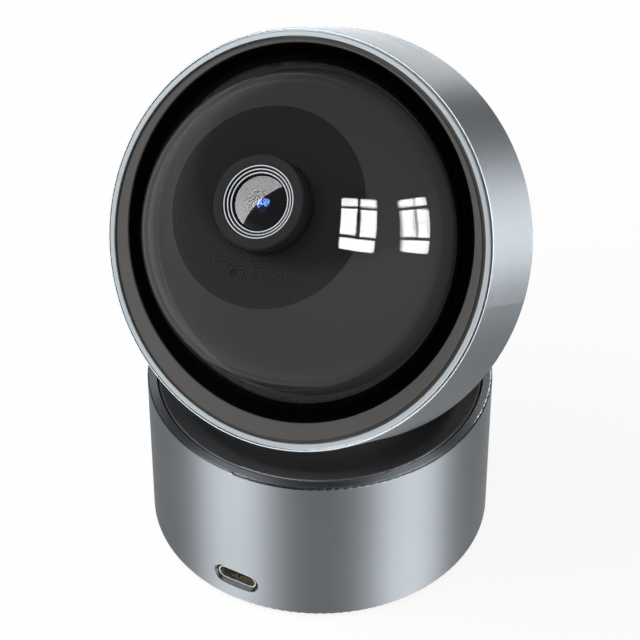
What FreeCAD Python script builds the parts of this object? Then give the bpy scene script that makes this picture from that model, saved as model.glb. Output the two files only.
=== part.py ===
import FreeCAD, Part

import math
import os

from FreeCAD import Matrix, Placement, Rotation, Vector

# Pan-tilt security camera. Millimetres. +Z is up, the front of the camera faces -Y,
# and the origin is the middle of the resting face on the pan axis.
# The head is modelled level in its own frame and then tilted to its resting angle:
# there X runs along the tilt axle, Y is up on the face and Z points out of the lens.

# Whole camera
base_radius = 36.0
rest_tilt_deg = 32.3

# Clearances
seam = 0.10
shaft_play = 0.04
turntable_gap = 0.35
pinhole_play = 0.05

# Base shell: an aluminium can open at both ends
shell_bottom = 0.5
shell_wall = 1.9
shell_edge_round = 0.5
rebate_depth = 0.8
rebate_height = 1.7
ledge_width = 1.1
ledge_height = 1.4
deck_top = 19.5

# Foot, floor and its fasteners
foot_margin = 1.7
foot_width = 5.2
foot_sunk = 0.8
floor_thickness = 2.2
post_angles = (45, 135, 225, 315)
post_radius = 2.9
floor_screw_radius = 1.0
floor_screw_head = 1.9
floor_screw_head_height = 1.1
floor_boss_height = 1.5
floor_screw_bite = 6.0

# Tripod insert, a quarter inch camera thread
insert_hole_radius = 2.6
insert_radius = 4.4
insert_length = 8.0
insert_wall = 2.4

# Power socket and main board
port_height = 6.5
port_opening_width = 9.8
port_opening_height = 4.2
port_bevel = 0.35
socket_width = 8.94
socket_height = 3.26
socket_length = 7.4
socket_skin = 0.3
socket_back = 1.2
socket_setback = 0.8
tongue_width = 6.7
tongue_thickness = 0.7
tongue_length = 4.6
board_thickness = 1.6
board_margin = 1.5
board_rear_edge = -2.0
board_pad_inset = 5.3
board_pad_radius = 1.8
board_pad_angles = (-158, -118.4, -61.6, -22)
notch_gap = 0.6
chip_gap = 1.0
processor_side = 11.0
processor_height = 1.4
memory_width = 8.0
memory_depth = 10.0
memory_height = 1.0
radio_width = 13.0
radio_depth = 9.0
radio_height = 2.2
inductor_width = 4.5
inductor_depth = 7.5
inductor_height = 3.6

# Speaker in the floor
speaker_angle_deg = 154.8
speaker_gap = 1.1
speaker_shift = 0.8
speaker_lip = 1.2
speaker_rim_height = 1.2
speaker_basket_height = 3.0
magnet_inset = 4.0
magnet_height = 2.6
grille_hole_radius = 0.7
grille_pitch = 2.4
grille_rings = 2

# Deck that closes the base and carries the turntable
deck_thickness = 2.0
bearing_boss_radius = 10.6
bearing_boss_drop = 3.2
bush_wall = 1.4
bush_flange_width = 2.6
bush_flange_thickness = 0.6

# Gears: the same tooth module in the pan train and the tilt train
tooth_module = 0.8
pressure_angle_deg = 20.0
backlash = 0.14
pan_gear_teeth = 42
pan_pinion_teeth = 13
pan_gear_thickness = 2.4
tilt_gear_teeth = 30
tilt_pinion_teeth = 12
tilt_gear_thickness = 3.2

# Pan motor
motor_shaft_radius = 1.0
pan_motor_gap = 2.7
pan_motor_length = 10.4
motor_flange_thickness = 1.2
motor_ear_reach = 4.0
motor_ear_radius = 2.6
motor_screw_radius = 0.9
motor_screw_head = 1.7
motor_screw_head_height = 0.9

# Turntable: hub tube, bowl and its fasteners
hub_bore = 5.0
hub_wall = 2.0
hub_collar_width = 2.2
hub_collar_thickness = 0.6
clip_thickness = 0.6
clip_groove_depth = 0.6
clip_width = 2.4
bowl_clearance = 4.1
bowl_wall = 1.8
bowl_edge_round = 0.45
bowl_flare_width = 5.3
bowl_flare_rise = 2.65
bowl_rim_sunk = 0.1
bowl_skirt_height = 3.6
bowl_skirt_wall = 1.2
hub_seat_radius = 14.0
hub_seat_depth = 0.9
bowl_foot = 0.06
gear_screw_circle = 11.7
gear_screw_count = 4
gear_screw_head_height = 0.85

# Neck that carries the tilt axle
neck_angle_deg = 57.0
neck_width = 10.0
neck_thickness = 7.6
neck_edge_round = 1.6
neck_hub_radius = 7.2
neck_foot_depth = 3.2
neck_socket_wall = 1.3
neck_cable_bore = 1.9
neck_screw_radius = 0.8
neck_screw_spread = 6.0
neck_screw_bite = 5.0
gear_seat_height = 1.2
gear_seat_radius = 6.0
peg_radius = 0.9
peg_circle = 4.2
axle_radius = 2.0
axle_end_margin = 0.5
axle_clip_thickness = 0.4
axle_clip_width = 1.5
axle_clip_depth = 0.45

# Head drum, measured from the tilt axis along the lens direction
face_plane = 12.3
drum_front = 11.9
drum_back = -9.4
drum_taper = 0.5
bezel_seat_width = 0.55
drum_front_round = 0.2
drum_back_round = 1.3
ledge_front = 5.5
ledge_thickness = 1.6
head_ledge_width = 2.6
trim_gap = 0.35
trim_width = 1.1
trim_height = 1.3
trim_bevel = 0.15
drum_lip_width = 0.25

# Face: the bezel opening and the dome sit a little above the drum's own axis
bezel_thickness = 1.6
bezel_narrow = 1.1
bezel_groove_width = 0.65
bezel_groove_depth = 0.6
opening_margin = 3.07
opening_raise = 1.53
bezel_edge_round = 0.25
dome_raise = 1.65
dome_centre = 4.4
dome_radius = 34.3
dome_wall = 1.0
dome_flange_width = 2.0
dome_flange_thickness = 1.2
shroud_flange_thickness = 1.0
lip_height = 1.0
lip_wall = 0.65
funnel_width = 2.2
funnel_depth = 1.5
funnel_setback = 0.3
retainer_roof = 1.0
retainer_screw_inset = 1.85
retainer_screw_angles = (-150, -105, -75, -30)
retainer_screw_radius = 0.5
retainer_screw_head = 0.8
retainer_screw_head_height = 0.45

# Lens stack, tipped up about the middle of the dome
lens_pitch_deg = 14.0
shroud_disc_radius = 19.7
shroud_disc_gap = 1.314
shroud_wall = 1.0
shroud_to_dome = 0.7
sensor_hole_radius = 0.9
sensor_hole_x = -1.6
sensor_hole_drop = 13.9
lens_stand = 5.25
lens_flare_radius = 9.2
lens_flare_length = 3.6
barrel_radius = 7.0
trim_ring_count = 3
lens_nose_round = 0.35
lens_trim_radius = 7.15
lens_trim_pitch = 0.62
lens_trim_width = 0.4
lens_trim_sunk = 0.1
lens_trim_drop = 0.28
lens_trim_groove = 0.45
lens_glass_depth = 2.6
lens_glass_crown = 1.0
lens_glass_wall = 0.9
lens_glass_foot = 0.9
inner_lens_radius = 1.9
inner_lens_depth = 2.2
inner_lens_sunk = 0.3
inner_lens_crown = 0.7
holder_size = 13.0
holder_height = 5.0
sensor_board_size = 21.0
sensor_board_depth = 12.6
sensor_board_thickness = 1.2
sensor_size = 7.0
sensor_thickness = 0.9
infrared_board_depth = 3.6
infrared_board_radius = 16.2
infrared_board_thickness = 1.0
infrared_board_bore = 9.4
infrared_count = 8
infrared_circle = 12.3
infrared_led_radius = 1.2
infrared_led_height = 1.3
microphone_radius = 1.4
microphone_height = 1.4
pillar_spread = 17.2
pillar_radius = 1.2
pillar_shoulder = 0.6
pillar_screw_radius = 0.6
pillar_screw_head = 1.1
pillar_screw_head_height = 0.6
pillar_screw_bite = 3.0

# Chassis in the head, tilt motor and ball cover
chassis_thickness = 2.0
chassis_opening_radius = 22.0
chassis_opening_raise = 3.0
ear_inner = 11.0
ear_thickness = 2.6
ear_radius = 5.6
bush_radius = 3.2
axle_bush_flange = 4.2
axle_bush_flange_thickness = 0.5
tilt_motor_angle_deg = 105.0
tilt_motor_radius = 7.4
tilt_motor_gap = 1.98
ball_wall = 1.8
slot_play = 0.6
slot_margin_deg = 1.4
tilt_down_deg = 45.0
tilt_up_deg = 40.0
cover_boss_radius = 2.5
cover_boss_inset = 5.9
cover_boss_angles = (25, 155, 205, 335)
cover_screw_radius = 0.9
cover_screw_head = 1.7
cover_screw_head_height = 1.0
cover_screw_bite = 6.0

UP = Vector(0, 0, 1)
ORIGIN = Vector(0, 0, 0)

# Turns a gear drawn flat, with its axis along Z, into the head's frame with its axis along X.
axle_turn = Placement(Matrix(0, 0, 1, 0, 1, 0, 0, 0, 0, 1, 0, 0, 0, 0, 0, 1))

nodes = {}


def polar(radius, angle_deg, height=0.0):
    """A point at a radius and an angle about Z."""
    angle = math.radians(angle_deg)
    return Vector(radius * math.cos(angle), radius * math.sin(angle), height)


def cylinder(radius, low, high, x=0.0, y=0.0):
    """An upright cylinder between two heights."""
    return Part.makeCylinder(radius, high - low, Vector(x, y, low))


def tube(outer, inner, low, high, x=0.0, y=0.0):
    """An upright tube between two heights."""
    return cylinder(outer, low, high, x, y).cut(cylinder(inner, low - 1, high + 1, x, y))


def revolve(*path):
    """A solid of revolution about Z. A path entry (r, z) is a straight run to that point,
    and an entry (rm, zm, r, z) is an arc through its first pair to its second."""
    start = Vector(path[0][0], 0, path[0][1])
    here = start
    edges = []
    for entry in path[1:]:
        there = Vector(entry[-2], 0, entry[-1])
        if len(entry) == 4:
            middle = Vector(entry[0], 0, entry[1])
            edges.append(Part.Arc(here, middle, there).toShape())
        else:
            edges.append(Part.LineSegment(here, there).toShape())
        here = there
    if (here - start).Length > 1e-6:
        edges.append(Part.LineSegment(here, start).toShape())
    return Part.Face(Part.Wire(edges)).revolve(ORIGIN, UP, 360)


def sphere_height(radius, ring, centre=0.0):
    """Height of the lower half of a sphere at a distance from its axis."""
    return centre - math.sqrt(radius ** 2 - ring ** 2)


def stadium(width, height, depth, y):
    """A bar with round ends, lying along X, that runs back from a face at y."""
    half = (width - height) / 2
    r = height / 2
    corners = [Vector(-half, y, -r), Vector(half, y, -r), Vector(half, y, r), Vector(-half, y, r)]
    edges = [
        Part.LineSegment(corners[0], corners[1]).toShape(),
        Part.Arc(corners[1], Vector(half + r, y, 0), corners[2]).toShape(),
        Part.LineSegment(corners[2], corners[3]).toShape(),
        Part.Arc(corners[3], Vector(-half - r, y, 0), corners[0]).toShape(),
    ]
    return Part.Face(Part.Wire(edges)).extrude(Vector(0, depth, 0))


def moved(shape, place):
    """A copy of a shape carried along by a placement."""
    copy = shape.copy()
    copy.Placement = place.multiply(copy.Placement)
    return copy


def shifted(shape, x=0.0, y=0.0, z=0.0):
    return moved(shape, Placement(Vector(x, y, z), Rotation()))


def joined(shapes):
    """One solid out of shapes that overlap."""
    first, rest = shapes[0], shapes[1:]
    return first.fuse(rest).removeSplitter() if rest else first


def keep(name, shape, place=None):
    """Files a finished piece under its name, carried by its frame if it has one."""
    nodes[name] = moved(shape, place) if place else shape


def keep_in_head(name, shape):
    keep(name, shape, head_place)


def screw(radius, head_radius, head_height, length):
    """A pan head screw with its head below Z = 0, its shank upwards and a plain cross recess."""
    head = cylinder(head_radius, -head_height, 0)
    rim = [edge for edge in head.Edges if edge.BoundBox.ZMax < -head_height + 1e-6]
    head = head.makeFillet(head_height * 0.4, rim)
    slot_width = head_radius * 0.3
    slot_depth = head_height * 0.5
    for length_x, length_y in ((head_radius * 1.1, slot_width), (slot_width, head_radius * 1.1)):
        corner = Vector(-length_x / 2, -length_y / 2, -head_height)
        head = head.cut(Part.makeBox(length_x, length_y, slot_depth, corner))
    return head.fuse(cylinder(radius, 0, length)).removeSplitter()


def gear(teeth, thickness, bore, phase_deg):
    """A spur gear on Z with involute flanks; one tooth is centred on the phase angle."""
    pitch = tooth_module * teeth / 2
    base = pitch * math.cos(math.radians(pressure_angle_deg))
    tip = pitch + tooth_module
    root = pitch - 1.25 * tooth_module

    def unwound(radius):
        """Angle that the involute has turned through where it reaches a radius."""
        reach = math.sqrt(max((radius / base) ** 2 - 1, 0))
        return reach - math.atan(reach)

    half_tooth = (math.pi * tooth_module / 2 - backlash) / 2 / pitch + unwound(pitch)
    low = max(base, root)

    def flank(radius, side, centre):
        angle = centre + side * (half_tooth - unwound(radius))
        return Vector(radius * math.cos(angle), radius * math.sin(angle), 0)

    edges = []
    step = 2 * math.pi / teeth
    radii = (low, (low + tip) / 2, tip)
    for index in range(teeth):
        centre = math.radians(phase_deg) + index * step
        rising = [flank(radius, -1, centre) for radius in radii]
        falling = [flank(radius, 1, centre) for radius in reversed(radii)]
        root_angles = [centre - half_tooth, centre + half_tooth, centre + step / 2, centre + step - half_tooth]
        feet = [Vector(root * math.cos(a), root * math.sin(a), 0) for a in root_angles]
        crown = Vector(tip * math.cos(centre), tip * math.sin(centre), 0)
        if root < low:
            edges.append(Part.LineSegment(feet[0], rising[0]).toShape())
        edges.append(Part.Arc(*rising).toShape())
        edges.append(Part.Arc(rising[2], crown, falling[0]).toShape())
        edges.append(Part.Arc(*falling).toShape())
        if root < low:
            edges.append(Part.LineSegment(falling[2], feet[1]).toShape())
            edges.append(Part.Arc(feet[1], feet[2], feet[3]).toShape())
        else:
            following = flank(radii[0], -1, centre + step)
            valley = Vector(low * math.cos(centre + step / 2), low * math.sin(centre + step / 2), 0)
            edges.append(Part.Arc(falling[2], valley, following).toShape())
    blank = Part.Face(Part.Wire(edges)).extrude(Vector(0, 0, thickness))
    return blank.cut(cylinder(bore, -1, thickness + 1))


# Sizes that follow from the ones above

shell_inner = base_radius - shell_wall
ledge_inner = shell_inner - ledge_width
rebate_radius = shell_inner + rebate_depth
rebate_top = shell_bottom + rebate_height
floor_top = shell_bottom + floor_thickness
foot_seat = shell_bottom + foot_sunk
foot_outer = rebate_radius - foot_margin
foot_inner = foot_outer - foot_width
post_circle = (foot_inner + foot_outer) / 2
deck_bottom = deck_top - deck_thickness
post_foot = floor_top + floor_boss_height

boss_outer = insert_radius + insert_wall
board_radius = shell_inner - board_margin
speaker_radius = (foot_inner - boss_outer) / 2 - speaker_gap
speaker_circle = foot_inner - speaker_radius + speaker_shift - speaker_gap / 2
magnet_radius = speaker_radius - magnet_inset

hub_radius = hub_bore + hub_wall
bush_bore = hub_radius + shaft_play
bush_outer = bush_bore + bush_wall
boss_bottom = deck_top - bearing_boss_drop - deck_thickness
bush_top = deck_top + bush_flange_thickness
collar_bottom = bush_top + shaft_play
collar_top = collar_bottom + hub_collar_thickness
pan_gear_bottom = collar_top
pan_gear_top = pan_gear_bottom + pan_gear_thickness
pan_motor_distance = tooth_module * (pan_gear_teeth + pan_pinion_teeth) / 2
pan_motor_radius = shell_inner - pan_motor_distance - pan_motor_gap
clip_top = boss_bottom - 0.15
hub_bottom = clip_top - clip_thickness - 0.6

shroud_disc_corner = dome_radius - dome_wall - shroud_disc_gap
shroud_disc_height = math.sqrt(shroud_disc_corner ** 2 - shroud_disc_radius ** 2)
lens_front = shroud_disc_height + lens_stand
sensor_board_height = shroud_disc_height - sensor_board_depth
infrared_board_height = shroud_disc_height - infrared_board_depth
lens_trim_bore = lens_trim_radius - (trim_ring_count - 1) * lens_trim_pitch - lens_trim_width
flange_radius = dome_radius + dome_flange_width
opening_radius = dome_radius + opening_margin
trim_inner = opening_radius + opening_raise + bezel_narrow
trim_outer = trim_inner + trim_width
trim_seat = face_plane - trim_height
drum_lip_inner = trim_outer + trim_gap
drum_front_radius = drum_lip_inner + drum_lip_width
drum_back_radius = drum_front_radius + drum_taper
drum_bore = trim_inner - bezel_seat_width
ball_radius = drum_bore - seam
head_ledge_radius = drum_bore - head_ledge_width
retainer_screw_circle = drum_bore - retainer_screw_inset
cover_boss_circle = ball_radius - cover_boss_inset

bowl_radius = math.hypot(trim_outer, face_plane) + bowl_clearance
bowl_outer = bowl_radius + bowl_wall
rim_radius = shell_inner - turntable_gap
tilt_axis_height = pan_gear_top + bowl_outer + bowl_foot
neck_foot = bowl_radius + neck_foot_depth
# The hollow turns into the rim's flare at the flare ring, and the rim lies just under the shell's mouth.
rim_ring = rim_radius - bowl_edge_round
flare_ring = rim_ring - bowl_flare_width
flare_height = tilt_axis_height - math.sqrt(bowl_radius ** 2 - flare_ring ** 2)
rim_top = flare_height + bowl_flare_rise
base_height = rim_top + bowl_rim_sunk
tilt_gear_face = neck_width / 2 + gear_seat_height
tilt_motor_distance = tooth_module * (tilt_gear_teeth + tilt_pinion_teeth) / 2
tilt_motor_room = ball_radius - ball_wall - tilt_motor_gap
tilt_motor_end = math.sqrt(tilt_motor_room ** 2 - (tilt_motor_distance + tilt_motor_radius) ** 2)
tilt_motor_length = tilt_motor_end - ear_inner - ear_thickness
axle_half = ear_inner + ear_thickness + axle_bush_flange_thickness + axle_clip_thickness + axle_end_margin + 0.1

chassis_back = ledge_front
chassis_front = chassis_back + chassis_thickness
shroud_flange_front = chassis_front + shroud_flange_thickness
dome_flange_front = shroud_flange_front + dome_flange_thickness
bezel_back = face_plane - bezel_thickness
ledge_back = ledge_front - ledge_thickness

screw_pilot = floor_screw_radius + pinhole_play

head_place = Placement(Vector(0, 0, tilt_axis_height), Rotation(Vector(1, 0, 0), 90.0 - rest_tilt_deg))


# Base

def post_points():
    return [polar(post_circle, angle) for angle in post_angles]


def make_base_shell():
    """The can is clamped between the floor's flange, in its rebate, and the deck, under its ledge."""
    rise = shell_edge_round * math.sin(math.radians(45))
    rest = shell_edge_round - rise
    ledge_top = deck_top + ledge_height
    body = revolve(
        (rebate_radius, shell_bottom),
        (base_radius - shell_edge_round, shell_bottom),
        (base_radius - rest, shell_bottom + rest, base_radius, shell_bottom + shell_edge_round),
        (base_radius, base_height - shell_edge_round),
        (base_radius - rest, base_height - rest, base_radius - shell_edge_round, base_height),
        (shell_inner, base_height),
        (shell_inner, ledge_top + ledge_width),
        (ledge_inner, ledge_top),
        (ledge_inner, deck_top),
        (shell_inner, deck_top),
        (shell_inner, rebate_top),
        (rebate_radius, rebate_top),
    )
    opening = stadium(port_opening_width, port_opening_height, base_radius, -base_radius * 1.5)
    body = body.cut(shifted(opening, z=port_height))
    mouth = []
    for edge in body.Edges:
        box = edge.BoundBox
        near_port = abs(box.Center.z - port_height) < port_opening_height and box.YMax < -30
        on_outside = all(abs(math.hypot(v.X, v.Y) - base_radius) < 1e-4 for v in edge.Vertexes)
        if near_port and on_outside and abs(box.Center.x) < port_opening_width:
            mouth.append(edge)
    keep("base_shell", body.makeChamfer(port_bevel, mouth))


def make_base_floor():
    """Bottom cover with the foot groove, screw bosses, tripod boss, speaker grille and board pads."""
    body = revolve(
        (0, shell_bottom),
        (foot_inner, shell_bottom),
        (foot_inner, foot_seat),
        (foot_outer, foot_seat),
        (foot_outer, shell_bottom),
        (rebate_radius - seam, shell_bottom),
        (rebate_radius - seam, rebate_top),
        (shell_inner - seam, rebate_top),
        (shell_inner - seam, floor_top),
        (0, floor_top),
    )
    parts = [body]
    boss_top = shell_bottom + insert_length + insert_wall / 2
    parts.append(cylinder(boss_outer, floor_top - 0.5, boss_top))
    for point in post_points():
        parts.append(cylinder(post_radius, floor_top - 0.5, post_foot, point.x, point.y))
    board_bottom = port_height - socket_height / 2 - board_thickness
    for pad in board_pads():
        x, y = pad.x, pad.y
        parts.append(cylinder(board_pad_radius, floor_top - 0.5, board_bottom, x, y))
    body = joined(parts)
    body = body.cut(cylinder(insert_radius + seam / 2, 0, shell_bottom + insert_length + seam))
    for point in post_points():
        body = body.cut(cylinder(screw_pilot, 0, post_foot + 1, point.x, point.y))
        recess = cylinder(floor_screw_head + 0.2, 0, foot_seat + floor_screw_head_height, point.x, point.y)
        body = body.cut(recess)
    for x, y in grille_points():
        body = body.cut(cylinder(grille_hole_radius, 0, floor_top + 1, x, y))
    keep("base_floor", body)


def board_pads():
    return [polar(board_radius - board_pad_inset, angle) for angle in board_pad_angles]


def grille_points():
    """Rings of holes under the speaker, six more in each ring."""
    middle = speaker_point()
    points = [(middle.x, middle.y)]
    for ring in range(1, grille_rings + 1):
        for index in range(6 * ring):
            spot = polar(ring * grille_pitch, 360.0 * index / (6 * ring))
            points.append((middle.x + spot.x, middle.y + spot.y))
    return points


def speaker_point():
    return polar(speaker_circle, speaker_angle_deg)


def make_foot_ring():
    """Rubber ring that the camera stands on."""
    inner = foot_inner + seam
    outer = foot_outer - seam
    soft = 0.3
    keep("foot_ring", revolve(
        (inner + soft, 0),
        (outer - soft, 0),
        (outer, soft),
        (outer, foot_seat),
        (inner, foot_seat),
        (inner, soft),
    ))


def make_tripod_insert():
    """Brass insert with two grip grooves, open below and closed above by the floor's boss."""
    top = shell_bottom + insert_length
    third = insert_length / 3
    body = tube(insert_radius, insert_hole_radius, shell_bottom, top)
    for index in (1, 2):
        middle = shell_bottom + index * third
        body = body.cut(tube(insert_radius + 1, insert_radius - 0.5, middle - 0.4, middle + 0.4))
    keep("tripod_insert", body)


def make_floor_screws():
    """Four screws hidden above the foot ring, through the floor into the deck's posts."""
    height = foot_seat + floor_screw_head_height
    length = post_foot - height + floor_screw_bite
    one = screw(floor_screw_radius, floor_screw_head, floor_screw_head_height, length)
    keep("floor_screws", Part.makeCompound([shifted(one, p.x, p.y, height) for p in post_points()]))


def make_main_board():
    """Half-round circuit board that leaves room for the motor, the speaker and the tripod boss."""
    top = port_height - socket_height / 2
    bottom = top - board_thickness
    body = cylinder(board_radius, bottom, top)
    rear = Part.makeBox(3 * base_radius, 2 * base_radius, 4 * board_thickness,
                        Vector(-1.5 * base_radius, board_rear_edge, bottom - board_thickness))
    body = body.cut(rear)
    body = body.cut(cylinder(boss_outer + notch_gap, bottom - 1, top + 1))
    for point in post_points():
        body = body.cut(cylinder(post_radius + notch_gap, bottom - 1, top + 1, point.x, point.y))
    keep("main_board", body)

    side = boss_outer + notch_gap + chip_gap
    rear = board_rear_edge - chip_gap
    chips = [
        Part.makeBox(processor_side, processor_side, processor_height,
                     Vector(-side - processor_side, rear - processor_side, top)),
        Part.makeBox(memory_width, memory_depth, memory_height,
                     Vector(-memory_width / 2, -side - memory_depth, top)),
        Part.makeBox(radio_width, radio_depth, radio_height,
                     Vector(side, rear - radio_depth, top)),
        Part.makeBox(inductor_width, inductor_depth, inductor_height,
                     Vector(side, rear - radio_depth - chip_gap - inductor_depth, top)),
    ]
    keep("board_components", Part.makeCompound(chips))


def make_usb_socket():
    """Steel sleeve of the power socket, closed at the back, with the contact tongue inside."""
    front = -base_radius + socket_setback
    sleeve = stadium(socket_width, socket_height, socket_length, front)
    hollow = stadium(socket_width - 2 * socket_skin, socket_height - 2 * socket_skin,
                     socket_length - socket_back, front - 1)
    hollow = hollow.fuse(shifted(hollow, y=1)).removeSplitter()
    keep("usb_socket", shifted(sleeve.cut(hollow), z=port_height))

    back = front + socket_length - socket_back
    tongue = Part.makeBox(tongue_width, tongue_length, tongue_thickness,
                          Vector(-tongue_width / 2, back - tongue_length, -tongue_thickness / 2))
    nose = [edge for edge in tongue.Edges if edge.BoundBox.YMax < back - tongue_length + 1e-6
            and edge.BoundBox.XLength > 1]
    tongue = tongue.makeChamfer(tongue_thickness * 0.3, nose)
    keep("usb_tongue", shifted(tongue, z=port_height))


def make_speaker():
    """Basket and cone in one moulding over the grille, with its magnet on the back."""
    rim_top = floor_top + speaker_rim_height
    basket_top = rim_top + speaker_basket_height
    neck = magnet_radius + 0.5
    basket = revolve(
        (speaker_radius - speaker_lip, floor_top),
        (speaker_radius, floor_top),
        (speaker_radius, rim_top),
        (neck, basket_top),
        (0, basket_top),
        (0, basket_top - 1.0),
        (neck - 1.5, basket_top - 1.0),
        (speaker_radius - speaker_lip, floor_top + 0.5),
    )
    middle = speaker_point()
    magnet = cylinder(magnet_radius, basket_top, basket_top + magnet_height)
    keep("speaker", shifted(basket, middle.x, middle.y))
    keep("speaker_magnet", shifted(magnet, middle.x, middle.y))


def motor_screw_points():
    reach = pan_motor_radius + motor_ear_reach
    return [(-reach, pan_motor_distance), (reach, pan_motor_distance)]


def make_deck_plate():
    """Upper floor of the base, with the bearing boss, four screw posts and the motor's seat."""
    parts = [cylinder(shell_inner - seam, deck_bottom, deck_top)]
    parts.append(cylinder(bearing_boss_radius, boss_bottom, deck_top))
    for point in post_points():
        parts.append(cylinder(post_radius, post_foot, deck_bottom + 0.5, point.x, point.y))
    body = joined(parts)
    body = body.cut(cylinder(bush_outer + seam / 2, boss_bottom - 1, deck_top + 1))
    body = body.cut(cylinder(motor_shaft_radius + 1.2, deck_bottom - 1, deck_top + 1, 0, pan_motor_distance))
    for x, y in motor_screw_points():
        body = body.cut(cylinder(motor_screw_radius + pinhole_play, deck_bottom - 1, deck_top - 0.4, x, y))
    for point in post_points():
        depth = foot_seat + floor_screw_head_height + floor_screw_bite + 3
        body = body.cut(cylinder(screw_pilot, 0, depth, point.x, point.y))
    keep("deck_plate", body)


def make_pan_bush():
    """Flanged plain bearing that the hub turns in."""
    keep("pan_bush", revolve(
        (bush_bore, boss_bottom),
        (bush_outer, boss_bottom),
        (bush_outer, deck_top),
        (bush_bore + bush_flange_width, deck_top),
        (bush_bore + bush_flange_width, bush_top),
        (bush_bore, bush_top),
    ))


def motor(radius, length):
    """A small geared motor whose mounting flange has its top face at Z = 0, shaft upwards."""
    can = cylinder(radius, -length, -motor_flange_thickness)
    lower = [edge for edge in can.Edges if edge.BoundBox.ZMax < -length + 1e-6]
    can = can.makeFillet(0.8, lower)
    reach = radius + motor_ear_reach
    flange = cylinder(radius, -motor_flange_thickness, 0)
    bar = Part.makeBox(2 * reach, 2 * motor_ear_radius, motor_flange_thickness,
                       Vector(-reach, -motor_ear_radius, -motor_flange_thickness))
    plug = Part.makeBox(7, 2.5, 4.5, Vector(-3.5, radius - 0.8, -length + 1))
    body = joined([can, flange, bar, plug] + [
        cylinder(motor_ear_radius, -motor_flange_thickness, 0, x, 0) for x in (-reach, reach)
    ])
    for x in (-reach, reach):
        body = body.cut(cylinder(motor_screw_radius + pinhole_play, -length, 1, x, 0))
    return body.cut(cylinder(motor_shaft_radius + shaft_play, -length * 0.6, 1))


def make_pan_motor():
    keep("pan_motor", shifted(motor(pan_motor_radius, pan_motor_length), y=pan_motor_distance, z=deck_bottom))
    one = screw(motor_screw_radius, motor_screw_head, motor_screw_head_height, motor_flange_thickness + 1.4)
    height = deck_bottom - motor_flange_thickness
    keep("pan_motor_screws", Part.makeCompound([shifted(one, x, y, height) for x, y in motor_screw_points()]))


def make_pan_pinion():
    """Motor pinion behind the pan gear, meshing at rest, with the motor's shaft in its bore."""
    phase = -90.0 + 180.0 / pan_pinion_teeth
    wheel = gear(pan_pinion_teeth, pan_gear_thickness, motor_shaft_radius + pinhole_play, phase)
    keep("pan_pinion", shifted(wheel, y=pan_motor_distance, z=pan_gear_bottom))
    shaft_bottom = deck_bottom - pan_motor_length * 0.6 + 0.5
    keep("pan_motor_shaft", cylinder(motor_shaft_radius, shaft_bottom, pan_gear_top, 0, pan_motor_distance))


# Turntable

def gear_screw_points():
    return [polar(gear_screw_circle, 45 + 360.0 * i / gear_screw_count) for i in range(gear_screw_count)]


def make_pan_gear():
    """Large gear under the bowl, driven by the pan pinion."""
    body = gear(pan_gear_teeth, pan_gear_thickness, hub_radius + seam / 2, 90.0)
    for point in gear_screw_points():
        body = body.cut(cylinder(screw_pilot, -1, pan_gear_thickness + 1, point.x, point.y))
    keep("pan_gear", shifted(body, z=pan_gear_bottom))

    one = screw(floor_screw_radius, floor_screw_head - 0.2, gear_screw_head_height, pan_gear_thickness + 1.0)
    screws = [shifted(one, p.x, p.y, pan_gear_bottom) for p in gear_screw_points()]
    keep("pan_gear_screws", Part.makeCompound(screws))


def make_pan_hub():
    """Hollow hub that turns in the deck's bush and lets the head's cable through."""
    top = pan_gear_top + hub_seat_depth
    groove = hub_radius - clip_groove_depth
    keep("pan_hub", revolve(
        (hub_bore, hub_bottom),
        (hub_radius, hub_bottom),
        (hub_radius, clip_top - clip_thickness - 0.05),
        (groove, clip_top - clip_thickness - 0.05),
        (groove, clip_top + 0.05),
        (hub_radius, clip_top + 0.05),
        (hub_radius, collar_bottom),
        (hub_radius + hub_collar_width, collar_bottom),
        (hub_radius + hub_collar_width, collar_top),
        (hub_radius, collar_top),
        (hub_radius, top),
        (hub_bore, top),
    ))

    ring_inner = hub_radius - clip_groove_depth + seam / 2
    ring = tube(ring_inner + clip_width, ring_inner, clip_top - clip_thickness, clip_top)
    gap = Part.makeBox(2 * hub_radius, hub_radius * 0.9, 4 * clip_thickness,
                       Vector(0, -hub_radius * 0.45, clip_top - 2 * clip_thickness))
    keep("hub_clip", ring.cut(gap))


def neck_place():
    """Frame of the neck: Z runs from the tilt axis down and back through the neck's foot."""
    turn = Rotation(Vector(1, 0, 0), -(90.0 + neck_angle_deg))
    return Placement(Vector(0, 0, tilt_axis_height), turn)


def neck_section(width, thickness, low, high, corner):
    """A straight bar along the neck with rounded long edges."""
    bar = Part.makeBox(width, thickness, high - low, Vector(-width / 2, -thickness / 2, low))
    if corner <= 0:
        return bar
    return bar.makeFillet(corner, [edge for edge in bar.Edges if edge.BoundBox.ZLength > (high - low) / 2])


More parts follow.
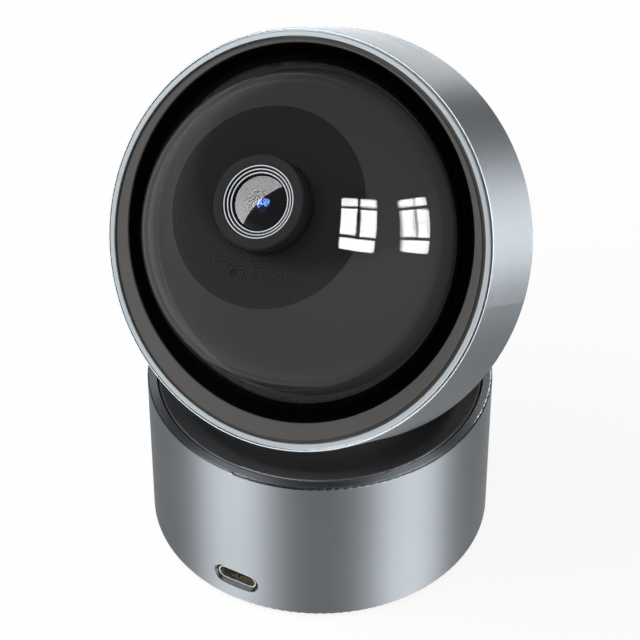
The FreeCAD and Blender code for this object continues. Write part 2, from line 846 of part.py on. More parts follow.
def make_turntable_bowl():
    """Black bowl under the head. Its hollow is a sphere about the tilt axis, which flares out to the
    rim and turns over into a short skirt inside the shell's mouth."""
    centre = tilt_axis_height
    seat = pan_gear_top
    # The flare is an arc that leaves the hollow along its tangent.
    rise = math.atan2(bowl_flare_rise, bowl_flare_width)
    bulge = math.hypot(bowl_flare_rise, bowl_flare_width) / 2
    bulge *= math.tan((math.asin(flare_ring / bowl_radius) - rise) / 2)
    flare_middle_ring = (flare_ring + rim_ring) / 2 - bulge * math.sin(rise)
    flare_middle_height = (flare_height + rim_top) / 2 + bulge * math.cos(rise)
    edge_rest = bowl_edge_round * (1 - math.sin(math.radians(45)))
    skirt_inner = rim_radius - bowl_skirt_wall
    skirt_bottom = rim_top - bowl_skirt_height
    middle_ring = (hub_bore + flare_ring) / 2
    under_ring = (hub_seat_radius + skirt_inner) / 2
    body = revolve(
        (hub_bore, seat + hub_seat_depth),
        (hub_bore, sphere_height(bowl_radius, hub_bore, centre)),
        (middle_ring, sphere_height(bowl_radius, middle_ring, centre), flare_ring, flare_height),
        (flare_middle_ring, flare_middle_height, rim_ring, rim_top),
        (rim_radius - edge_rest, rim_top - edge_rest, rim_radius, rim_top - bowl_edge_round),
        (rim_radius, skirt_bottom),
        (skirt_inner, skirt_bottom),
        (skirt_inner, sphere_height(bowl_outer, skirt_inner, centre)),
        (under_ring, sphere_height(bowl_outer, under_ring, centre),
         hub_seat_radius, sphere_height(bowl_outer, hub_seat_radius, centre)),
        (hub_seat_radius, seat),
        (hub_radius + seam / 2, seat),
        (hub_radius + seam / 2, seat + hub_seat_depth),
    )
    pad_width = neck_width + 2 * neck_socket_wall
    pad_thickness = neck_thickness + 2 * neck_socket_wall
    pad_end = neck_foot + neck_socket_wall
    pad = neck_section(pad_width, pad_thickness, bowl_radius + 0.6, pad_end, neck_edge_round)
    pad = moved(pad, neck_place()).common(cylinder(rim_radius - 0.3, 0, base_height))
    socket = neck_section(neck_width + seam, neck_thickness + seam, bowl_radius - 6, neck_foot + seam / 2,
                          neck_edge_round + seam / 2)
    body = body.fuse(pad).cut(moved(socket, neck_place()))
    for x in (-neck_screw_spread / 2, neck_screw_spread / 2):
        hole = cylinder(neck_screw_radius + pinhole_play, neck_foot - 1, pad_end + 2, x, 0)
        body = body.cut(moved(hole, neck_place()))
    for point in gear_screw_points():
        body = body.cut(cylinder(screw_pilot, seat - 1, seat + 1.2, point.x, point.y))
    keep("turntable_bowl", body.removeSplitter())


def make_neck_arm():
    """Arm from the bowl to the middle of the head, with the axle hub and the fixed gear's seat."""
    hub = Part.makeCylinder(neck_hub_radius, neck_width, Vector(-neck_width / 2, 0, 0), Vector(1, 0, 0))
    bar = neck_section(neck_width, neck_thickness, 0, neck_foot, neck_edge_round)
    seat = Part.makeCylinder(gear_seat_radius, gear_seat_height + 0.5,
                             Vector(neck_width / 2 - 0.5, 0, 0), Vector(1, 0, 0))
    body = joined([hub, bar, seat])
    for side in (-1, 1):
        peg = Part.makeCylinder(peg_radius, tilt_gear_thickness * 0.7 + 0.5,
                                Vector(tilt_gear_face - 0.5, 0, side * peg_circle), Vector(1, 0, 0))
        body = body.fuse(peg)
    axle_hole = Part.makeCylinder(axle_radius + pinhole_play, 4 * neck_width,
                                  Vector(-2 * neck_width, 0, 0), Vector(1, 0, 0))
    channel = cylinder(neck_cable_bore, neck_hub_radius, neck_foot - neck_screw_bite - 2)
    body = body.cut(axle_hole).cut(channel)
    mouth = Part.makeBox(2 * neck_cable_bore, neck_thickness, 2 * neck_cable_bore,
                         Vector(-neck_cable_bore, -neck_thickness, neck_hub_radius))
    body = body.cut(mouth)
    for x in (-neck_screw_spread / 2, neck_screw_spread / 2):
        hole = cylinder(neck_screw_radius + pinhole_play, neck_foot - neck_screw_bite, neck_foot + 1, x, 0)
        body = body.cut(hole)
    keep("neck_arm", body, neck_place())

    one = screw(neck_screw_radius, 1.4, 0.7, neck_socket_wall + neck_screw_bite - 0.6)
    flip = Placement(Vector(0, 0, neck_foot + neck_socket_wall), Rotation(Vector(1, 0, 0), 180))
    screws = [shifted(moved(one, flip), x=x) for x in (-neck_screw_spread / 2, neck_screw_spread / 2)]
    keep("neck_screws", Part.makeCompound(screws), neck_place())


def make_tilt_gear():
    """Gear held still on the neck; the tilt motor's pinion walks round it."""
    turned = axle_turn.inverse().multiply(head_place.inverse()).multiply(neck_place())
    body = gear(tilt_gear_teeth, tilt_gear_thickness, axle_radius + pinhole_play, -90.0 + 180.0 - tilt_motor_angle_deg)
    body = shifted(body, z=tilt_gear_face)
    for side in (-1, 1):
        hole = Part.makeCylinder(peg_radius + pinhole_play, 2 * tilt_gear_thickness,
                                 Vector(tilt_gear_face - 1, 0, side * peg_circle), Vector(1, 0, 0))
        body = body.cut(moved(hole, turned))
    keep_in_head("tilt_gear", moved(body, axle_turn))


def make_tilt_axle():
    """Steel axle through the neck's hub, held by a clip at each end."""
    groove_in = ear_inner + ear_thickness + axle_bush_flange_thickness + 0.1
    groove_out = groove_in + axle_clip_thickness + 0.1
    inner = axle_radius - axle_clip_depth
    chamfer = 0.25
    axle = revolve(
        (0, -axle_half),
        (axle_radius - chamfer, -axle_half),
        (axle_radius, -axle_half + chamfer),
        (axle_radius, -groove_out),
        (inner, -groove_out),
        (inner, -groove_in),
        (axle_radius, -groove_in),
        (axle_radius, groove_in),
        (inner, groove_in),
        (inner, groove_out),
        (axle_radius, groove_out),
        (axle_radius, axle_half - chamfer),
        (axle_radius - chamfer, axle_half),
        (0, axle_half),
    )
    keep_in_head("tilt_axle", moved(axle, axle_turn))
    clips = []
    for side in (-1, 1):
        middle = side * (groove_in + groove_out) / 2
        ring = tube(inner + pinhole_play + axle_clip_width, inner + pinhole_play,
                    middle - axle_clip_thickness / 2, middle + axle_clip_thickness / 2)
        gap = Part.makeBox(2 * axle_radius, 2 * inner, 2 * axle_clip_thickness,
                           Vector(0, -inner, middle - axle_clip_thickness))
        clips.append(moved(ring.cut(gap), axle_turn))
    keep_in_head("axle_clips", Part.makeCompound(clips))


# Head

def make_head_drum():
    """Aluminium drum, a touch wider at the back, with an inner ledge that the chassis rests on
    and a thin lip in front that leaves a groove round the trim ring."""
    back = drum_back_round
    rest = back * (1 - math.sin(math.radians(45)))
    front = drum_front_round
    front_rest = front * (1 - math.sin(math.radians(45)))
    bezel_seat = trim_inner
    keep_in_head("head_drum", revolve(
        (drum_bore, drum_back + back * 0.3),
        (drum_bore + back * 0.3, drum_back),
        (drum_back_radius - back, drum_back),
        (drum_back_radius - rest, drum_back + rest, drum_back_radius, drum_back + back),
        (drum_front_radius, drum_front - front),
        (drum_front_radius - front_rest, drum_front - front_rest, drum_front_radius - front, drum_front),
        (drum_lip_inner, drum_front),
        (drum_lip_inner, trim_seat),
        (bezel_seat, trim_seat),
        (bezel_seat, bezel_back),
        (drum_bore, bezel_back),
        (drum_bore, ledge_front),
        (head_ledge_radius, ledge_front),
        (head_ledge_radius, ledge_back),
        (drum_bore, ledge_back),
    ))


def make_trim_ring():
    """Polished ring round the face."""
    keep_in_head("trim_ring", revolve(
        (trim_inner, trim_seat),
        (trim_outer, trim_seat),
        (trim_outer, face_plane - trim_bevel),
        (trim_outer - trim_bevel, face_plane),
        (trim_inner + trim_bevel, face_plane),
        (trim_inner, face_plane - trim_bevel),
    ))


def make_front_bezel():
    """Grey face ring, narrow above and broad below because its opening is raised. Its edge is
    stepped down, which leaves a fine groove inside the trim ring."""
    body = joined([
        cylinder(trim_inner - seam, bezel_back, face_plane - bezel_groove_depth),
        cylinder(trim_inner - bezel_groove_width, bezel_back, face_plane),
    ])
    body = body.cut(cylinder(opening_radius, bezel_back - 1, face_plane + 1, 0, opening_raise))
    lip = []
    for edge in body.Edges:
        at_face = edge.BoundBox.ZMin > face_plane - 1e-6
        if at_face and abs(edge.BoundBox.YLength - 2 * opening_radius) < 1e-3:
            lip.append(edge)
    keep_in_head("front_bezel", body.makeFillet(bezel_edge_round, lip))


def retainer_screw_points():
    return [polar(retainer_screw_circle, angle) for angle in retainer_screw_angles]


def make_dome_retainer():
    """Black ring that clamps the dome: a funnel below the bezel's edge and a thin lip round the dome."""
    roof_top = dome_flange_front + retainer_roof
    body = cylinder(drum_bore - seam, chassis_front, bezel_back)
    funnel_outer = opening_radius - seam
    funnel_top = face_plane - funnel_setback
    body = body.fuse(cylinder(funnel_outer, bezel_back - 0.2, funnel_top, 0, opening_raise))
    funnel = Part.makeCone(funnel_outer - funnel_width, funnel_outer - 0.1, funnel_depth + 0.1,
                           Vector(0, opening_raise, funnel_top - funnel_depth), UP)
    body = body.cut(funnel)
    lip_top = roof_top + lip_height
    lip_ring = math.sqrt(dome_radius ** 2 - (lip_top - dome_centre) ** 2) + seam + lip_wall
    body = body.fuse(cylinder(lip_ring, dome_flange_front, lip_top, 0, dome_raise))
    body = body.cut(cylinder(flange_radius + seam, chassis_front - 1, dome_flange_front, 0, dome_raise))
    socket = Part.makeSphere(dome_radius + seam, Vector(0, dome_raise, dome_centre))
    body = body.cut(socket)
    for point in retainer_screw_points():
        body = body.cut(cylinder(retainer_screw_radius + pinhole_play, 0, face_plane, point.x, point.y))
        recess = cylinder(retainer_screw_head + 0.15, bezel_back - retainer_screw_head_height - 0.1,
                          face_plane, point.x, point.y)
        body = body.cut(recess)
    keep_in_head("dome_retainer", body.removeSplitter())

    length = bezel_back - retainer_screw_head_height - 0.1 - chassis_back - 0.4
    one = screw(retainer_screw_radius, retainer_screw_head, retainer_screw_head_height, length)
    flip = Placement(Vector(0, 0, bezel_back - retainer_screw_head_height - 0.1), Rotation(Vector(1, 0, 0), 180))
    screws = [shifted(moved(one, flip), p.x, p.y) for p in retainer_screw_points()]
    keep_in_head("retainer_screws", Part.makeCompound(screws))


def make_dome_window():
    """Smoked clear dome, most of a hemisphere, on a flat flange."""
    inner = dome_radius - dome_wall
    low = shroud_flange_front - dome_centre
    high = dome_flange_front - dome_centre
    outer_foot = math.sqrt(dome_radius ** 2 - high ** 2)
    inner_foot = math.sqrt(inner ** 2 - low ** 2)
    angle_out = math.atan2(high, outer_foot) / 2 + math.pi / 4
    angle_in = math.atan2(low, inner_foot) / 2 + math.pi / 4
    body = revolve(
        (inner_foot, low),
        (flange_radius, low),
        (flange_radius, high),
        (outer_foot, high),
        (dome_radius * math.cos(angle_out), dome_radius * math.sin(angle_out), 0, dome_radius),
        (0, inner),
        (inner * math.cos(angle_in), inner * math.sin(angle_in), inner_foot, low),
    )
    keep_in_head("dome_window", shifted(body, y=dome_raise, z=dome_centre))


def lens_place():
    """Frame of the lens stack: Z runs out of the middle of the dome, tipped up."""
    return Placement(Vector(0, dome_raise, dome_centre), Rotation(Vector(1, 0, 0), -lens_pitch_deg))


def circle_wire(radius, height, place):
    circle = Part.Circle(Vector(0, 0, height), UP, radius)
    wire = Part.Wire([circle.toShape()])
    return moved(wire, place)


def make_lens_shroud():
    """Black liner under the dome: a flat disc square to the lens, joined to the flange by a skirt."""
    level = Placement(Vector(0, dome_raise, dome_centre), Rotation())
    foot = shroud_flange_front - dome_centre
    skirt_foot = math.sqrt((dome_radius - dome_wall - shroud_to_dome) ** 2 - foot ** 2)
    outer = Part.makeLoft([
        circle_wire(skirt_foot, foot, level),
        circle_wire(shroud_disc_radius, shroud_disc_height, lens_place()),
    ], True)
    inner = Part.makeLoft([
        circle_wire(skirt_foot - shroud_wall, foot - 0.5, level),
        circle_wire(shroud_disc_radius - shroud_wall, shroud_disc_height - shroud_wall, lens_place()),
    ], True)
    flange = shifted(tube(flange_radius, skirt_foot - shroud_wall, chassis_front, shroud_flange_front),
                     y=dome_raise)
    body = outer.cut(inner)
    body = body.fuse(flange)
    under_disc = shroud_disc_height - shroud_wall
    shoulder = infrared_board_height + infrared_board_thickness
    for x, y in pillar_points():
        pillar = cylinder(pillar_radius, sensor_board_height, under_disc + 0.3, x, y)
        collar = cylinder(pillar_radius + pillar_shoulder, shoulder, under_disc + 0.3, x, y)
        pilot = cylinder(pillar_screw_radius + pinhole_play, 0, sensor_board_height + pillar_screw_bite + 1, x, y)
        body = body.fuse(moved(pillar.fuse(collar), lens_place())).cut(moved(pilot, lens_place()))
    hole = cylinder(lens_flare_radius + 0.25, shroud_disc_height - 5, shroud_disc_height + 5)
    body = body.cut(moved(hole, lens_place()))
    pinhole = cylinder(sensor_hole_radius, shroud_disc_height - 5, shroud_disc_height + 5,
                       sensor_hole_x, -sensor_hole_drop)
    keep_in_head("lens_shroud", body.cut(moved(pinhole, lens_place())))


def pillar_points():
    half = pillar_spread / 2
    return [(-half, -half), (half, -half), (half, half), (-half, half)]


def keep_on_lens(name, shape):
    keep_in_head(name, moved(shape, lens_place()))


def crown_height(ring, edge, top):
    """Height, half way out from the axis, of a spherical cap that rises from its edge to its top."""
    rise = top - edge
    radius = (ring ** 2 + rise ** 2) / (2 * rise)
    return top - radius + math.sqrt(radius ** 2 - (ring / 2) ** 2)


def make_lens():
    """Barrel with a flared nose, stepped trim rings, two glasses, holder and image sensor."""
    board_top = sensor_board_height
    holder_top = board_top + holder_height
    flare_low = lens_front - lens_flare_length
    seat = lens_trim_radius + seam
    glass_seat = lens_front - lens_glass_depth
    inner_seat = glass_seat - inner_lens_depth
    nose_round = lens_nose_round
    barrel = revolve(
        (0, holder_top + 0.6),
        (barrel_radius, holder_top + 0.6),
        (barrel_radius, flare_low - 1.2),
        (lens_flare_radius, flare_low),
        (lens_flare_radius, lens_front - nose_round),
        (lens_flare_radius - nose_round * 0.3, lens_front - nose_round * 0.3,
         lens_flare_radius - nose_round, lens_front),
        (seat, lens_front),
        (seat, glass_seat),
        (0, glass_seat),
    )
    keep_on_lens("lens_barrel", barrel.cut(cylinder(inner_lens_radius + seam / 2, inner_seat, lens_front)))

    path = [(lens_trim_bore, glass_seat), (lens_trim_radius, glass_seat)]
    for index in range(trim_ring_count):
        outer = lens_trim_radius - index * lens_trim_pitch
        inner = outer - lens_trim_width
        height = lens_front - lens_trim_sunk - index * lens_trim_drop
        path += [(outer, height), (inner, height)]
        if index < trim_ring_count - 1:
            path += [(inner, height - lens_trim_groove), (outer - lens_trim_pitch, height - lens_trim_groove)]
    keep_on_lens("lens_trim", revolve(*path))

    glass_radius = lens_trim_bore - seam / 2
    glass_edge = height - lens_trim_groove
    glass_top = glass_edge + lens_glass_crown
    under_top = glass_top - lens_glass_wall
    under_ring = glass_radius - lens_glass_foot
    keep_on_lens("front_lens", revolve(
        (under_ring, glass_seat),
        (glass_radius, glass_seat),
        (glass_radius, glass_edge),
        (glass_radius / 2, crown_height(glass_radius, glass_edge, glass_top), 0, glass_top),
        (0, under_top),
        (under_ring / 2, crown_height(under_ring, glass_seat, under_top), under_ring, glass_seat),
    ))

    inner_edge = glass_seat - inner_lens_sunk
    inner_top = inner_edge + inner_lens_crown
    keep_on_lens("inner_lens", revolve(
        (0, inner_seat),
        (inner_lens_radius, inner_seat),
        (inner_lens_radius, inner_edge),
        (inner_lens_radius / 2, crown_height(inner_lens_radius, inner_edge, inner_top), 0, inner_top),
    ))

    half = holder_size / 2
    holder = Part.makeBox(holder_size, holder_size, holder_height, Vector(-half, -half, board_top))
    holder = holder.makeFillet(2.0, [edge for edge in holder.Edges if edge.BoundBox.ZLength > 1])
    holder = holder.fuse(cylinder(barrel_radius + 1.2, holder_top, holder_top + 0.6))
    cavity = Part.makeBox(sensor_size + 2, sensor_size + 2, holder_height - 1.5,
                          Vector(-sensor_size / 2 - 1, -sensor_size / 2 - 1, board_top - 0.001))
    holder = holder.cut(cavity).cut(cylinder(3.0, board_top, holder_top + 1))
    keep_on_lens("lens_holder", holder)

    sensor = Part.makeBox(sensor_size, sensor_size, sensor_thickness,
                          Vector(-sensor_size / 2, -sensor_size / 2, board_top))
    keep_on_lens("image_sensor", sensor)

    side = sensor_board_size / 2
    board_bottom = board_top - sensor_board_thickness
    board = Part.makeBox(sensor_board_size, sensor_board_size, sensor_board_thickness,
                         Vector(-side, -side, board_bottom))
    board = board.makeFillet(1.5, [edge for edge in board.Edges if edge.BoundBox.ZLength > 1])
    one = screw(pillar_screw_radius, pillar_screw_head, pillar_screw_head_height,
                sensor_board_thickness + pillar_screw_bite)
    screws = []
    for x, y in pillar_points():
        board = board.cut(cylinder(pillar_screw_radius + pinhole_play, board_bottom - 1, board_top + 1, x, y))
        screws.append(shifted(one, x, y, board_bottom))
    keep_on_lens("sensor_board", board)
    keep_on_lens("sensor_board_screws", Part.makeCompound(screws))


def make_infrared_board():
    """Ring board behind the shroud's disc with the night-vision lamps and the microphone."""
    top = infrared_board_height + infrared_board_thickness
    board = tube(infrared_board_radius, infrared_board_bore, infrared_board_height, top)
    for x, y in pillar_points():
        board = board.cut(cylinder(pillar_radius + pinhole_play, top - 2, top + 1, x, y))
    keep_on_lens("infrared_board", board)
    lamps = []
    for index in range(infrared_count):
        spot = polar(infrared_circle, 360.0 * (index + 0.5) / infrared_count)
        lamps.append(cylinder(infrared_led_radius, top, top + infrared_led_height, spot.x, spot.y))
    keep_on_lens("infrared_lamps", Part.makeCompound(lamps))
    keep_on_lens("microphone", cylinder(microphone_radius, top, top + microphone_height,
                                        sensor_hole_x, -sensor_hole_drop))


def tilt_motor_place():
    """Frame of the tilt motor: Z along the tilt axis, its flange on the outside of one ear."""
    spot = polar(tilt_motor_distance, 90.0 - tilt_motor_angle_deg)
    return axle_turn.multiply(Placement(Vector(spot.x, spot.y, 0), Rotation()))


def ear(side):
    """One ear of the chassis in the head's frame, reaching back from the plate to the axle."""
    low = ear_inner if side > 0 else -ear_inner - ear_thickness
    arm = Part.makeBox(ear_thickness, 2 * ear_radius, chassis_back + 0.5, Vector(low, -ear_radius, 0))
    knuckle = Part.makeCylinder(ear_radius, ear_thickness, Vector(low, 0, 0), Vector(1, 0, 0))
    parts = [arm, knuckle]
    if side > 0:
        spot = polar(tilt_motor_distance, 90.0 - tilt_motor_angle_deg)
        reach = tilt_motor_radius + motor_ear_reach
        pad = Part.makeBox(ear_thickness, 2 * motor_ear_radius + 4, 2 * reach + 2 * motor_ear_radius,
                           Vector(low, spot.x - motor_ear_radius - 2, spot.y - reach - motor_ear_radius))
        web = Part.makeBox(ear_thickness, spot.x, chassis_back + 0.5 - (spot.y - 5), Vector(low, 0, spot.y - 5))
        parts += [pad, web]
    return parts


def make_head_chassis():
    """Plate across the drum with two ears that hold the axle's bushes and the tilt motor."""
    plate = cylinder(drum_bore - seam, chassis_back, chassis_front)
    window = cylinder(chassis_opening_radius, chassis_back - 1, chassis_front + 1, 0, chassis_opening_raise)
    plate = plate.cut(window)
    arms = []
    for side in (-1, 1):
        low = ear_inner if side > 0 else -ear_inner - ear_thickness
        bridge = Part.makeBox(ear_thickness, 2 * drum_bore, chassis_thickness,
                              Vector(low, -drum_bore, chassis_back))
        arms.append(bridge.common(cylinder(drum_bore - 1, chassis_back, chassis_front)))
        arms += ear(side)
    body = joined([plate] + arms)
    body = body.common(Part.makeSphere(ball_radius - ball_wall - 0.5).fuse(
        cylinder(drum_bore - seam, chassis_back, chassis_front)))
    axle_hole = Part.makeCylinder(bush_radius + seam / 2, 4 * ear_inner, Vector(-2 * ear_inner, 0, 0),
                                  Vector(1, 0, 0))
    body = body.cut(axle_hole)
    shaft_hole = cylinder(motor_shaft_radius + 1.2, 0, 2 * ear_inner)
    body = body.cut(moved(shaft_hole, tilt_motor_place()))
    for x in (-1, 1):
        hole = cylinder(motor_screw_radius + pinhole_play, ear_inner - 1, ear_inner + ear_thickness + 1,
                        x * (tilt_motor_radius + motor_ear_reach), 0)
        body = body.cut(moved(moved(hole, motor_turn()), tilt_motor_place()))
    for point in cover_points():
        body = body.cut(cylinder(cover_screw_radius + pinhole_play, 0, face_plane, point.x, point.y))
        body = body.cut(cylinder(cover_screw_head + 0.2, chassis_front - cover_screw_head_height,
                                 face_plane, point.x, point.y))
    for point in retainer_screw_points():
        body = body.cut(cylinder(retainer_screw_radius + pinhole_play, chassis_back - 1,
                                 face_plane, point.x, point.y))
    keep_in_head("head_chassis", body.removeSplitter())


def motor_turn():
    """Quarter turn that puts the tilt motor's two ears front and back."""
    return Placement(ORIGIN, Rotation(UP, 90.0))


def make_axle_bushes():
    """A flanged bush in each ear."""
    bushes = []
    for side in (-1, 1):
        inside = side * ear_inner
        outside = side * (ear_inner + ear_thickness)
        flange = outside + side * axle_bush_flange_thickness
        bore = axle_radius + shaft_play
        bush = revolve(
            (bore, inside),
            (bush_radius, inside),
            (bush_radius, outside),
            (axle_bush_flange, outside),
            (axle_bush_flange, flange),
            (bore, flange),
        )
        bushes.append(moved(bush, axle_turn))
    keep_in_head("axle_bushes", Part.makeCompound(bushes))


def make_tilt_motor():
    """Geared motor on the outside of one ear, its pinion inside."""
    face = ear_inner + ear_thickness
    flip = Placement(Vector(0, 0, face), Rotation(Vector(1, 0, 0), 180))
    body = moved(motor(tilt_motor_radius, tilt_motor_length), flip)
    body = moved(body, motor_turn())
    keep_in_head("tilt_motor", moved(body, tilt_motor_place()))

    one = screw(motor_screw_radius, motor_screw_head, motor_screw_head_height,
                motor_flange_thickness + ear_thickness - 0.3)
    screws = []
    for x in (-1, 1):
        seated = moved(one, Placement(Vector(x * (tilt_motor_radius + motor_ear_reach), 0,
                                             face + motor_flange_thickness), Rotation(Vector(1, 0, 0), 180)))
        screws.append(moved(moved(seated, motor_turn()), tilt_motor_place()))
    keep_in_head("tilt_motor_screws", Part.makeCompound(screws))


def make_tilt_pinion():
    """Pinion in mesh with the fixed tilt gear, on the tilt motor's shaft."""
    toward_gear = 90.0 - tilt_motor_angle_deg + 180.0
    wheel = gear(tilt_pinion_teeth, tilt_gear_thickness, motor_shaft_radius + pinhole_play,
                 toward_gear + 180.0 / tilt_pinion_teeth)
    keep_in_head("tilt_pinion", moved(shifted(wheel, z=tilt_gear_face), tilt_motor_place()))
    shaft = cylinder(motor_shaft_radius, tilt_gear_face,
                     ear_inner + ear_thickness + tilt_motor_length * 0.6 - 0.5)
    keep_in_head("tilt_motor_shaft", moved(shaft, tilt_motor_place()))


def cover_points():
    return [polar(cover_boss_circle, angle) for angle in cover_boss_angles]


def make_rear_cover():
    """Ball-shaped back of the head, with the slot that the neck travels in."""
    inner = ball_radius - ball_wall
    diagonal = math.sin(math.radians(45))
    body = revolve(
        (inner, ledge_back),
        (ball_radius, ledge_back),
        (ball_radius, 0),
        (ball_radius * diagonal, -ball_radius * diagonal, 0, -ball_radius),
        (0, -inner),
        (inner * diagonal, -inner * diagonal, inner, 0),
    )
    shell_room = Part.makeSphere(ball_radius - 0.4)
    for point in cover_points():
        depth = math.sqrt(inner ** 2 - cover_boss_circle ** 2) + 1.0
        boss = cylinder(cover_boss_radius, -depth, chassis_back, point.x, point.y).common(shell_room)
        body = body.fuse(boss)
        hole = cylinder(cover_screw_radius + pinhole_play, chassis_back - cover_screw_bite - 1,
                        chassis_back + 1, point.x, point.y)
        body = body.cut(hole)
    keep_in_head("rear_cover", body.cut(neck_slot()).removeSplitter())

    length = chassis_thickness - cover_screw_head_height + cover_screw_bite
    one = screw(cover_screw_radius, cover_screw_head, cover_screw_head_height, length)
    flip = Placement(Vector(0, 0, chassis_front - cover_screw_head_height), Rotation(Vector(1, 0, 0), 180))
    screws = [shifted(moved(one, flip), p.x, p.y) for p in cover_points()]
    keep_in_head("cover_screws", Part.makeCompound(screws))


def neck_slot():
    """Wedge about the tilt axis that the neck sweeps, from full tilt up to full tilt down."""
    half_neck = math.degrees(math.asin(neck_thickness / 2 / (ball_radius - ball_wall)))
    behind = neck_angle_deg - rest_tilt_deg
    first = behind - tilt_up_deg - half_neck - slot_margin_deg
    last = behind + tilt_down_deg + half_neck + slot_margin_deg
    half = neck_width / 2 + slot_play
    low = ball_radius - 3 * ball_wall
    high = ball_radius + 2 * ball_wall
    # The wedge starts straight behind the head and opens towards its lower side.
    section = Part.makePolygon([
        Vector(-half, 0, -low), Vector(half, 0, -low), Vector(half, 0, -high), Vector(-half, 0, -high),
        Vector(-half, 0, -low),
    ])
    wedge = Part.Face(section).revolve(ORIGIN, Vector(-1, 0, 0), last - first)
    return moved(wedge, Placement(ORIGIN, Rotation(Vector(-1, 0, 0), first)))


def main():
    for make in (
        make_base_shell, make_base_floor, make_foot_ring, make_tripod_insert, make_floor_screws,
        make_main_board, make_usb_socket, make_speaker, make_deck_plate, make_pan_bush,
        make_pan_motor, make_pan_pinion, make_pan_gear, make_pan_hub, make_turntable_bowl,
        make_neck_arm, make_tilt_gear, make_tilt_axle, make_head_drum, make_trim_ring,
        make_front_bezel, make_dome_retainer, make_dome_window, make_lens_shroud, make_lens,
        make_infrared_board, make_head_chassis, make_axle_bushes, make_tilt_motor,
        make_tilt_pinion, make_rear_cover,
    ):
        make()
    os.makedirs("parts", exist_ok=True)
    for name, shape in nodes.items():
        shape.exportStep(f"parts/{name}.step")
        print(name, len(shape.Solids), "solids", round(shape.Volume, 1), "mm3", shape.isValid())


main()
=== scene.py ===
import math

import bpy
from mathutils import Matrix, Vector


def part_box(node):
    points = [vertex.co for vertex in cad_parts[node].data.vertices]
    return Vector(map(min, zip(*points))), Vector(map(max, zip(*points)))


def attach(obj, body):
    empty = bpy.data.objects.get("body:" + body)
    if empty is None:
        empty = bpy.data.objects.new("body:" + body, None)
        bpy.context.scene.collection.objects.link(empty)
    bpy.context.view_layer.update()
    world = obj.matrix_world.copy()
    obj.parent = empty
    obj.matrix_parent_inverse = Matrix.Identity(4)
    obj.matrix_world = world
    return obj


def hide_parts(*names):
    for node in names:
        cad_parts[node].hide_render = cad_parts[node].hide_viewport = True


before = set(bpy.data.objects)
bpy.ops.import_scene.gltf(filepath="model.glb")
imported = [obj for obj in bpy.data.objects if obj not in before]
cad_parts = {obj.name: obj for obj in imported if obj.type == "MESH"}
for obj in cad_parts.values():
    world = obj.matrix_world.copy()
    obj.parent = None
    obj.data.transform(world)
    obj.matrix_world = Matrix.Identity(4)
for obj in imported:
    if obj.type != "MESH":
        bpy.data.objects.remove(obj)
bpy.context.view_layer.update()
bpy.context.scene.view_settings.view_transform = "Standard"
mm = 0.001

# Camera
# The photo is taken from in front and above, a little to one side, through a long lens. The
# angles and the distance come from a fit to the outlines of the base and the head.

view_azimuth = math.radians(29.2)
view_elevation = math.radians(40.84)
view_distance = 0.549
view_target = Vector((0.0, 0.0, 0.0503))
sensor_width = 36.0
focal_in_pixels = 2670.0
image_width = 640.0

toward_camera = Vector((
    math.sin(view_azimuth) * math.cos(view_elevation),
    -math.cos(view_azimuth) * math.cos(view_elevation),
    math.sin(view_elevation),
))
camera_data = bpy.data.cameras.new("photo_camera")
camera_data.sensor_width = sensor_width
camera_data.lens = focal_in_pixels * sensor_width / image_width
camera_data.clip_start = 0.01
camera_data.clip_end = 50.0
camera = bpy.data.objects.new("photo_camera", camera_data)
bpy.context.scene.collection.objects.link(camera)
camera.location = view_target + toward_camera * view_distance
camera.rotation_euler = toward_camera.to_track_quat("Z", "Y").to_euler()
bpy.context.scene.camera = camera

# Floor
# A plain white table. The view and every mirror see it nearly pure white, and it keeps a soft
# shadow. From below it isn't there, so the underside of the object shows.

floor_size = 40.0
floor_colour = "#F6F6F6"
floor_whiteness = 0.8
floor_glow = 1.08


def linear(hex_code):
    """An sRGB hex colour as linear RGBA."""
    channels = [int(hex_code[i:i + 2], 16) / 255 for i in (1, 3, 5)]
    return tuple(c / 12.92 if c <= 0.04045 else ((c + 0.055) / 1.055) ** 2.4 for c in channels) + (1.0,)


def add(material, kind, inputs=None, **settings):
    """Adds a node; inputs maps a socket to a value or to another node's output."""
    made = material.node_tree.nodes.new(kind)
    for name, value in settings.items():
        setattr(made, name, value)
    for socket, value in (inputs or {}).items():
        if isinstance(value, bpy.types.NodeSocket):
            material.node_tree.links.new(value, made.inputs[socket])
        else:
            made.inputs[socket].default_value = value
    return made


def new_material(name):
    """A material with no nodes yet."""
    material = bpy.data.materials.new(name)
    material.use_nodes = True
    material.node_tree.nodes.clear()
    return material


bpy.ops.object.select_all(action="DESELECT")
bpy.ops.mesh.primitive_plane_add(size=floor_size)
floor = bpy.context.object
floor.name = "floor"
white_table = new_material("white_table")
table = add(white_table, "ShaderNodeBsdfPrincipled", {
    "Base Color": linear(floor_colour), "Roughness": 0.9, "Specular IOR Level": 0.1,
})
glow = add(white_table, "ShaderNodeEmission", {"Color": linear("#FFFFFF"), "Strength": floor_glow})
ray = add(white_table, "ShaderNodeLightPath")
share = add(white_table, "ShaderNodeMath", {
    0: ray.outputs["Is Camera Ray"], 1: floor_whiteness,
}, operation="MULTIPLY")
for kind in ("Is Glossy Ray", "Is Transmission Ray"):
    share = add(white_table, "ShaderNodeMath", {
        0: share.outputs[0], 1: ray.outputs[kind],
    }, operation="MAXIMUM")
mixed = add(white_table, "ShaderNodeMixShader", {
    0: share.outputs[0], 1: table.outputs[0], 2: glow.outputs[0],
})
side = add(white_table, "ShaderNodeNewGeometry")
below = add(white_table, "ShaderNodeBsdfTransparent")
shown = add(white_table, "ShaderNodeMixShader", {
    0: side.outputs["Backfacing"], 1: mixed.outputs[0], 2: below.outputs[0],
})
add(white_table, "ShaderNodeOutputMaterial", {"Surface": shown.outputs[0]})
